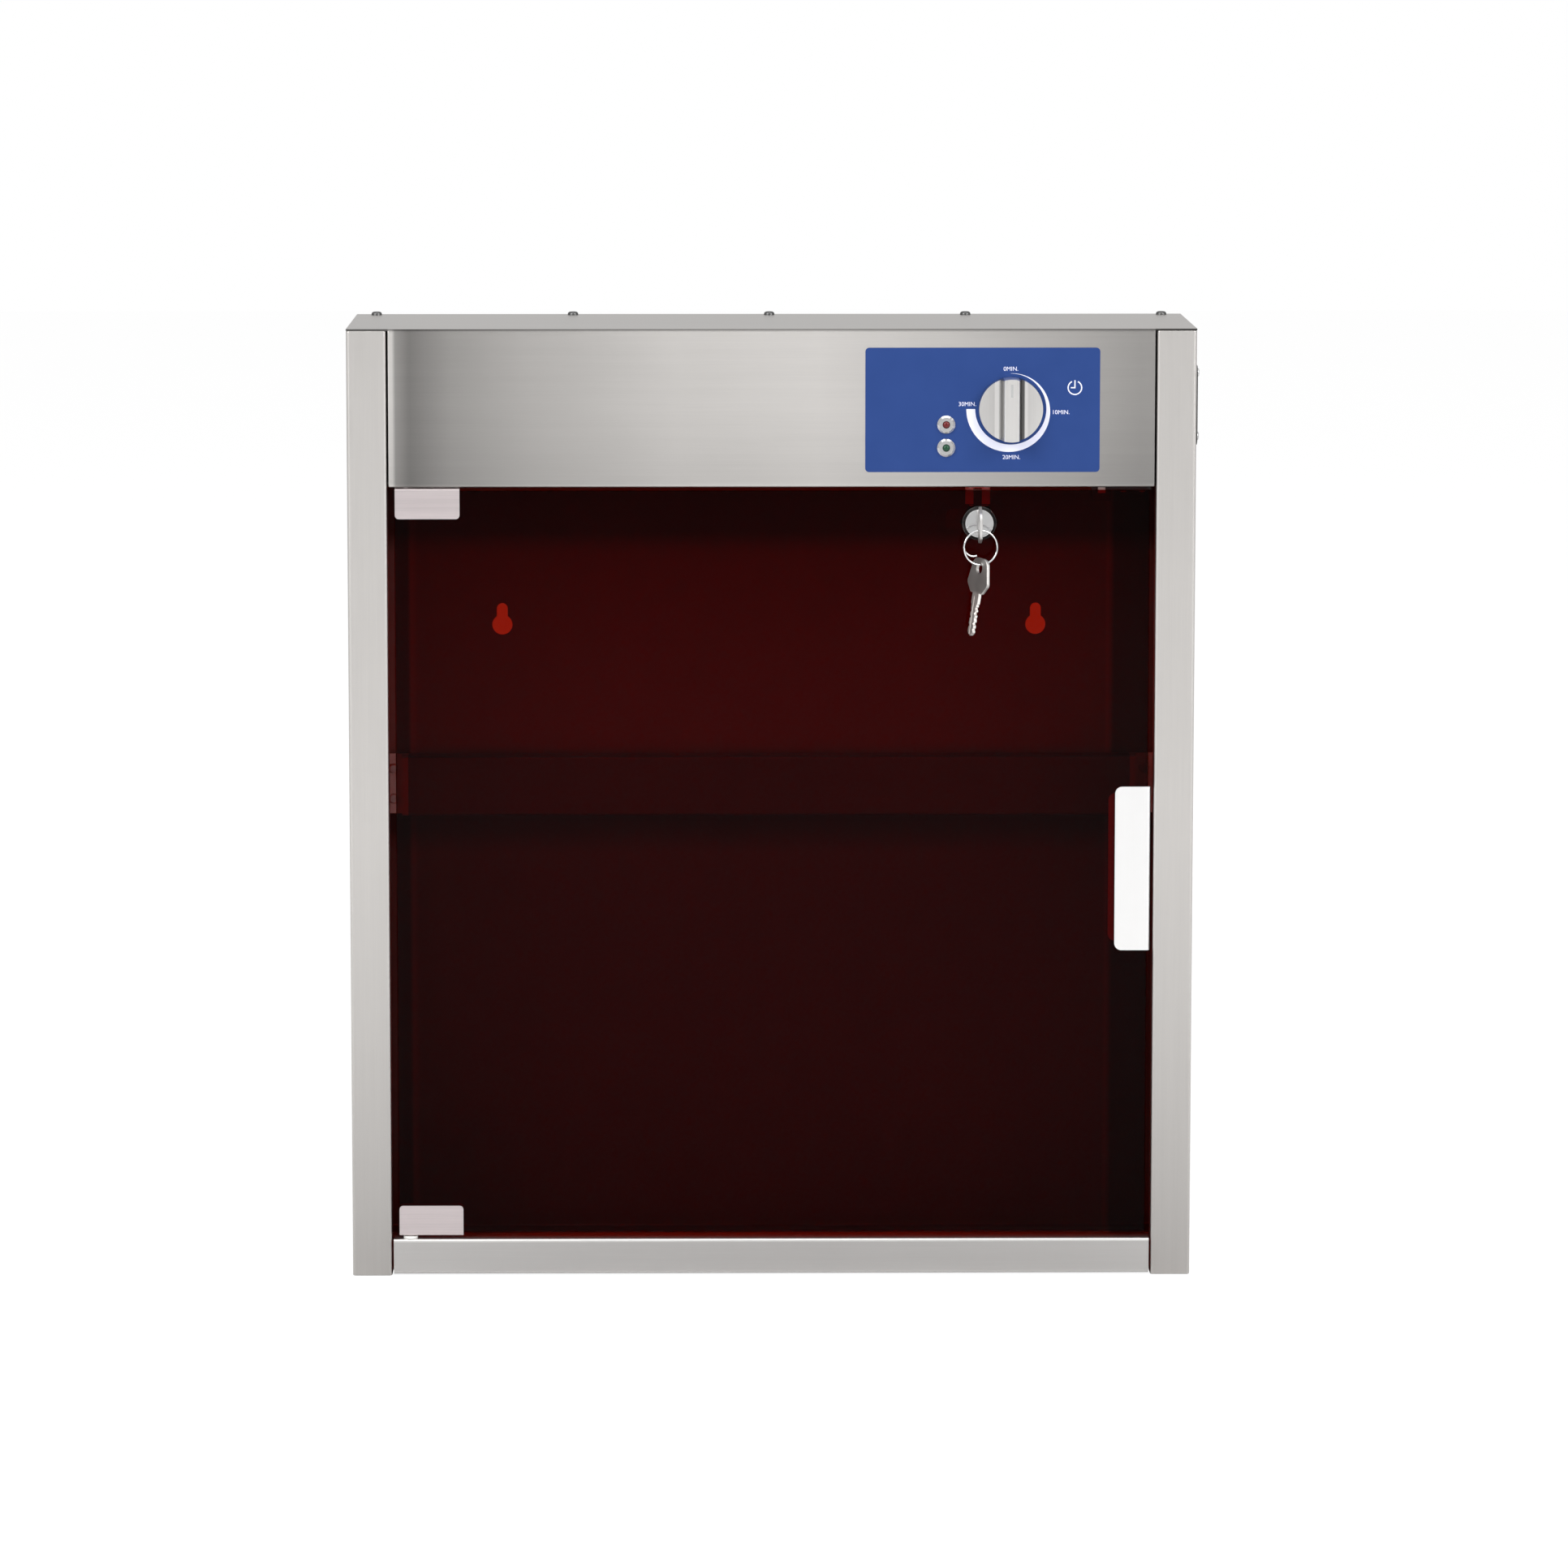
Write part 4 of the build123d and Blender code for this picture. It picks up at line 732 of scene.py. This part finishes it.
class STERILIZER_OT_door(bpy.types.Operator):
    """Finish the see-through door, its hinge clips and its handle"""

    bl_idname = "sterilizer.door"
    bl_label = "Door"

    def execute(self, context):
        tint = solid(context.scene.sterilizer_colours.glass)
        lamp_tint = solid(context.scene.sterilizer_colours.lamp_glass)
        glass = tinted_glass("door_brown_glass", tint, lamp_tint, roughness=0.02, bending=1.12)
        dress(glass, "door_panel")
        clip = brushed_steel("clip_steel", (0.72, 0.645, 0.65, 1), "X", 0.32, grain=3.0)
        dress(clip, "top_hinge_clip", "bottom_hinge_clip")
        dress(brushed_steel("handle_steel", grey(0.99, 0.01), "Z", 0.33, grain=0.5), "door_handle")
        rubber = moulded_plastic("pad_rubber", grey(0.02), 0.8, grain=0.00003, grain_scale=1800)
        dress(rubber, "hinge_pads", "handle_pad")
        return {"FINISHED"}


class STERILIZER_OT_lock(bpy.types.Operator):
    """Finish the lock, its strike and its keys"""

    bl_idname = "sterilizer.lock"
    bl_label = "Lock and keys"

    # The housing's painted reflection by the distance from its middle: bright mouth, dark cone, paler
    # rim.
    collar_painted_reflection = (
        (0.0, 0.9), (0.0080, 0.9), (0.0087, 1.0),
        (0.0089, 0.06), (0.0103, 0.10), (0.0107, 0.45),
    )
    # Below its top, the spare key's blade, lighter with painted reflection, ends and its bow, darker
    # with painted shade, begins.
    key_blade_from_top = 0.0225
    key_bow_from_top = 0.0205

    def execute(self, context):
        chrome = polished_metal("lock_chrome", grey(0.78), 0.08)
        dress(chrome, "lock_nut", "lock_plug")
        low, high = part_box("lock_housing")
        middle = ((low[0] + high[0]) / 2, (low[2] + high[2]) / 2)
        # Painted reflection in rings on the lock housing.
        dress(metal_with_painted_rings("lock_collar", grey(0.85), 0.12, middle, self.collar_painted_reflection), "lock_housing")
        dress(polished_metal("key_nickel", grey(0.72, 0.02), 0.36, cloud=0.12), "inserted_key")
        low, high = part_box("spare_key")
        blade = high[2] - self.key_blade_from_top
        bow = high[2] - self.key_bow_from_top
        # Painted reflection: the spare key's blade lighter than its bow.
        shade = Fade("Z", ((low[2], 1.0), (blade, 1.0), (bow, 0.56), (high[2], 0.62)))
        painted_key = polished_metal("key_painted_sheen", grey(0.95, 0.04), 0.34, cloud=0.12, painted_fades=(shade,))
        dress(painted_key, "spare_key")
        zinc = polished_metal("zinc_plate", grey(0.62, -0.01), 0.26, cloud=0.1)
        dress(zinc, "cam_screw", "hinge_set_screws")
        dress(polished_metal("cam_steel", grey(0.20), 0.35, cloud=0.1), "lock_cam")
        strike = moulded_plastic("strike_plate", grey(0.86, 0.02), 0.4)
        dress(strike, "strike_bracket", "strike_rivets")
        return {"FINISHED"}


class STERILIZER_OT_key_ring(bpy.types.Operator):
    """Bend the key ring from springy wire with its ends passing each other"""

    bl_idname = "sterilizer.key_ring"
    bl_label = "Key ring"

    def execute(self, context):
        low, high = (Vector(corner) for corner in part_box("key_ring"))
        wire = context.scene.sterilizer_small_parts.ring_wire
        reach = (high - low) / 2 - Vector((wire, wire, wire))
        radius, turn = reach.z, math.atan2(reach.y, reach.x)
        finish = polished_metal("ring_wire", grey(0.86), 0.12)
        sizes = {"Radius": radius, "Wire radius": wire, "Material": finish}
        mesh = smoothed(grown("key_ring_wire", wire_ring_tree(), sizes), angle=60)
        mesh.transform(Matrix.Translation((low + high) / 2) @ Matrix.Rotation(turn, 4, "Z"))
        ring = add_piece("key_ring_wire", mesh, finish, "ring")
        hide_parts("key_ring")
        return {"FINISHED"}


class STERILIZER_OT_controls(bpy.types.Operator):
    """Finish the control label, the knob and the indicators"""

    bl_idname = "sterilizer.controls"
    bl_label = "Controls"

    # The knob's painted shade and highlights across it, from its middle: pale grip, dark flanks and
    # paler wings.
    knob_painted_light = (
        (-0.0200, 0.86), (-0.0106, 0.80), (-0.0100, 1.0), (-0.0080, 1.0), (-0.0072, 0.45),
        (-0.0050, 0.32), (-0.0045, 1.0), (0.0046, 1.0), (0.0050, 0.10), (0.0080, 0.14),
        (0.0087, 1.0), (0.0100, 1.0), (0.0108, 0.84), (0.0200, 0.93),
    )

    def execute(self, context):
        film = solid(context.scene.sterilizer_colours.label)
        label = moulded_plastic("label_film", film, 0.42, 0.000008, 3500, bending=1.25)
        dress(label, "control_label")
        low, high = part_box("timer_knob")
        middle = (low[0] + high[0]) / 2
        # Painted shade and highlights across the knob.
        shade = Fade("X", tuple((middle + across, level) for across, level in self.knob_painted_light))
        knob = brushed_steel("knob_metal", grey(0.88, 0.02), "Z", 0.28, grain=0.9, painted_fades=(shade,))
        dress(knob, "timer_knob", "timer_shaft")
        dress(polished_metal("pointer_inlay", grey(0.62), 0.40), "knob_pointer")
        bezel = polished_metal("bezel_chrome", grey(0.80), 0.14)
        dress(bezel, "red_indicator_bezel", "green_indicator_bezel", "timer_nut", "indicator_nuts")
        red = moulded_plastic("red_lens", (0.11, 0.003, 0.003, 1), 0.12, 0.00003, 900)
        dress(red, "red_indicator_lens")
        green = moulded_plastic("green_lens", (0.003, 0.05, 0.02, 1), 0.12, 0.00003, 900)
        dress(green, "green_indicator_lens")
        return {"FINISHED"}


class STERILIZER_OT_dial(bpy.types.Operator):
    """Print the widening band, the minutes and the clock symbol round the knob"""

    bl_idname = "sterilizer.dial"
    bl_label = "Dial print"

    # Words and symbol with their places from the knob's middle, to the right and up.
    marks = (
        ("0MIN.", 0.0, 0.0250),
        ("10MIN.", 0.0312, -0.0021),
        ("20MIN.", 0.0005, -0.0302),
        ("30MIN.", -0.0271, 0.0030),
    )
    symbol = (0.0399, 0.0133)
    stroke = 0.00075

    def execute(self, context):
        sizes = context.scene.sterilizer_dial
        ink = moulded_plastic("dial_ink", solid(context.scene.sterilizer_colours.ink), 0.5)
        low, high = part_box("timer_knob")
        thick = sizes.ink_thickness
        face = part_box("control_label")[0][1] - thick
        middle = Vector(((low[0] + high[0]) / 2, face, (low[2] + high[2]) / 2))
        band = {
            "Inner radius": sizes.band_radius,
            "Growth": sizes.band_growth,
            "Thickness": thick,
            "Material": ink,
        }
        shapes = [grown("band", widening_band_tree(), band)]
        for words, x, z in self.marks:
            mark = lettering(words, sizes.letter_height, thick)
            mark.transform(Matrix.Translation((x, 0, z)))
            shapes.append(mark)
        clock = clock_symbol(sizes.symbol_radius, self.stroke, thick)
        clock.transform(Matrix.Translation((self.symbol[0], 0, self.symbol[1])))
        shapes.append(clock)
        mesh = joined("dial_print", shapes)
        mesh.transform(Matrix.Translation(middle))
        add_piece("dial_print", mesh, ink, "cabinet")
        return {"FINISHED"}


class STERILIZER_OT_screws(bpy.types.Operator):
    """Cut the cross recesses of the screws that show"""

    bl_idname = "sterilizer.screws"
    bl_label = "Screws"

    # How many stand along the top's rear edge, and how far they stay below the CAD model's top.
    count = 5
    clearance = 0.000001

    def execute(self, context):
        sizes = context.scene.sterilizer_small_parts
        steel = polished_metal("screw_steel", grey(0.66), 0.24, cloud=0.1)
        dark = polished_metal("screw_dark", grey(0.13), 0.30, cloud=0.1)
        tree = screw_tree()
        low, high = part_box("top_cover_screws")
        start, end = low[0] + sizes.head_radius, high[0] - sizes.head_radius
        y, z = (low[1] + high[1]) / 2, high[2] - sizes.head_height - self.clearance
        last = self.count - 1
        places = [(start + (end - start) * step / last, y, z) for step in range(self.count)]
        base = bpy.data.meshes.new("top_screws")
        base.from_pydata(places, [], [])
        axis = base.attributes.new("axis", "FLOAT_VECTOR", "POINT")
        axis.data.foreach_set("vector", [0, 0, 1] * len(places))
        made = {
            "Head radius": sizes.head_radius,
            "Head height": sizes.head_height,
            "Seed": sizes.seed,
            "Material": dark,
        }
        mesh = smoothed(grown("top_screws", tree, made, base))
        screws = add_piece("top_screws", mesh, dark, "cabinet")
        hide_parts("top_cover_screws")
        dress(steel, "interlock_screws", "inlet_screws", "bracket_screws")
        return {"FINISHED"}


class STERILIZER_OT_inside(bpy.types.Operator):
    """Finish the lamp, the electrics, the door switch and the small plastic parts"""

    bl_idname = "sterilizer.inside"
    bl_label = "Inside"

    def execute(self, context):
        quartz = tinted_glass("lamp_quartz", grey(0.93, -0.01), grey(0.9), 0.05, bending=1.4)
        dress(quartz, "lamp_tube")
        aluminium = brushed_steel("lamp_aluminium", grey(0.72, -0.01), "X", 0.34, grain=0.6)
        dress(aluminium, "lamp_caps", "starter")
        white = moulded_plastic("white_plastic", (0.78, 0.78, 0.75, 1), 0.45)
        dress(white, "starter_holder", "terminal_block", "left_lamp_holder", "right_lamp_holder")
        dress(white, "switch_plunger", "top_pivot_bush", "bottom_pivot_washer")
        black = moulded_plastic("black_plastic", grey(0.022), 0.42)
        dress(black, "timer_body", "mains_inlet", "interlock_switch")
        dress(moulded_plastic("ballast_paint", grey(0.30, -0.02), 0.4, 0.00004, 700), "ballast")
        ferrite = moulded_plastic("magnet_ferrite", grey(0.035), 0.6, 0.00005, 1200)
        dress(ferrite, "knife_bar_magnets")
        sheath = moulded_plastic("lead_sheath", grey(0.12), 0.5, grain_scale=1500)
        dress(sheath, "internal_wiring")
        return {"FINISHED"}


def looked_at(graph):
    """1 on rays from the camera, also where they came through glass."""
    direct = graph.add("ShaderNodeLightPath", output="Is Camera Ray")
    through = graph.add("ShaderNodeLightPath", output="Is Transmission Ray")
    return graph.maths("MAXIMUM", direct, through)


def seen_white(graph, surface, share, strength):
    """A surface that looks white to the camera by this share."""
    seen = looked_at(graph)
    white = graph.add("ShaderNodeEmission", None, {"Color": (1, 1, 1, 1), "Strength": strength})
    return graph.add("ShaderNodeMixShader", None, {0: seen * share, 1: surface, 2: white})


def soft_lamp(name, place, width, height, power):
    """A rectangular lamp at a place, turned towards the origin."""
    light = bpy.data.lights.new(name, "AREA")
    light.shape = "RECTANGLE"
    light.size, light.size_y = width, height
    light.energy = power
    lamp = bpy.data.objects.new(name, light)
    lamp.location = place
    inwards = Vector((0, 0, 0)) - Vector(place)
    lamp.rotation_euler = inwards.to_track_quat("-Z", "Y").to_euler()
    bpy.context.scene.collection.objects.link(lamp)


class STERILIZER_OT_stage(bpy.types.Operator):
    """Set up the pale floor, the soft lamps and the camera"""

    bl_idname = "sterilizer.stage"
    bl_label = "Stage"

    floor_reach = 9.0
    floor_gap = 0.0002
    photo_pixels = 1932
    focal_pixels = 7930
    sensor_width = 36.0
    camera_place = (-0.051, -4.140, 0.480)
    camera_pitch = 7.06
    camera_turn = -0.546
    camera_shift = (0.021, -0.07)
    # Name, place in metres, width, height and watts.
    lamps = (
        ("lamp_left", (-2.2, -2.6, 1.7), 1.6, 1.6, 70),
        ("lamp_right", (2.4, -2.4, 1.5), 1.6, 1.6, 60),
        ("lamp_above", (0, -0.6, 2.6), 3.4, 3.0, 42),
    )

    def execute(self, context):
        base = cad_box[0][2] - self.floor_gap
        reach = self.floor_reach
        around = ((-reach, -reach), (reach, -reach), (reach, reach), (-reach, reach))
        floor = bpy.data.meshes.new("studio_floor")
        floor.from_pydata([(x, y, base) for x, y in around], [], [(0, 1, 2, 3)])
        material, graph = shader("studio_floor")
        tone = graph.noise(graph.place(), 3, 2)
        paper = graph.blend(tone, (0.80, 0.80, 0.80, 1), (0.83, 0.83, 0.83, 1))
        matte = graph.add("ShaderNodeBsdfDiffuse", None, {"Color": paper, "Roughness": 0.5})
        close(graph, seen_white(graph, matte, share=0.84, strength=1.08))
        floor.materials.append(material)
        stage = bpy.data.objects.new("studio_floor", floor)
        context.scene.collection.objects.link(stage)
        self.light_world(context)
        for lamp in self.lamps:
            soft_lamp(*lamp)
        self.aim_camera(context)
        return {"FINISHED"}

    def light_world(self, context):
        """White to the camera, and a soft light, a little dimmer from the front, to all else."""
        world = bpy.data.worlds.new("studio")
        world.use_nodes = True
        world.node_tree.nodes.clear()
        graph = Graph(world.node_tree)
        direction = graph.add("ShaderNodeTexCoord", output="Generated")
        depth = graph.part(direction, "Y")
        behind = {"Value": depth, "From Min": -0.6, "From Max": 0.3, "To Min": 0.55, "To Max": 0.62}
        level = graph.add("ShaderNodeMapRange", {"interpolation_type": "SMOOTHSTEP"}, behind)
        level = graph.maths("MAXIMUM", level, looked_at(graph))
        sky = graph.add("ShaderNodeBackground", None, {"Color": (1, 1, 1, 1), "Strength": level})
        graph.add("ShaderNodeOutputWorld", None, {"Surface": sky})
        context.scene.world = world

    def aim_camera(self, context):
        """The photograph's viewpoint: a little above the cabinet's middle and far away."""
        data = bpy.data.cameras.new("camera")
        data.sensor_width = self.sensor_width
        data.lens = self.focal_pixels / self.photo_pixels * self.sensor_width
        data.shift_x, data.shift_y = self.camera_shift
        data.clip_start, data.clip_end = 0.1, 60
        camera = bpy.data.objects.new("camera", data)
        camera.location = self.camera_place
        pitch, turn = math.radians(90 - self.camera_pitch), math.radians(self.camera_turn)
        camera.rotation_euler = (pitch, 0, turn)
        context.scene.collection.objects.link(camera)
        context.scene.camera = camera
        context.scene.view_settings.view_transform = "Standard"


STEPS = (
    STERILIZER_OT_stage,
    STERILIZER_OT_sheet_metal,
    STERILIZER_OT_door,
    STERILIZER_OT_lock,
    STERILIZER_OT_key_ring,
    STERILIZER_OT_controls,
    STERILIZER_OT_dial,
    STERILIZER_OT_screws,
    STERILIZER_OT_inside,
)


class STERILIZER_PT_panel(bpy.types.Panel):
    """Lists the steps that dress the cabinet"""

    bl_idname = "STERILIZER_PT_panel"
    bl_label = "Knife Sterilizer Cabinet"
    bl_space_type = "VIEW_3D"
    bl_region_type = "UI"
    bl_category = "Sterilizer"

    def draw(self, context):
        for step in STEPS:
            self.layout.operator(step.bl_idname)


GROUPS = {
    "sterilizer_dial": SterilizerDial,
    "sterilizer_colours": SterilizerColours,
    "sterilizer_small_parts": SterilizerSmallParts,
}
CLASSES = (*GROUPS.values(), *STEPS, STERILIZER_PT_panel)


def register():
    """Adds the steps, their panel and their settings to Blender."""
    for item in CLASSES:
        bpy.utils.register_class(item)
    for name, group in GROUPS.items():
        setattr(bpy.types.Scene, name, PointerProperty(type=group))


def unregister():
    """Takes the settings, the panel and the steps away again."""
    for name in GROUPS:
        delattr(bpy.types.Scene, name)
    for item in reversed(CLASSES):
        bpy.utils.unregister_class(item)


def main():
    register()
    for step in STEPS:
        group, name = step.bl_idname.split(".")
        getattr(getattr(bpy.ops, group), name)()


if __name__ == "__main__":
    main()
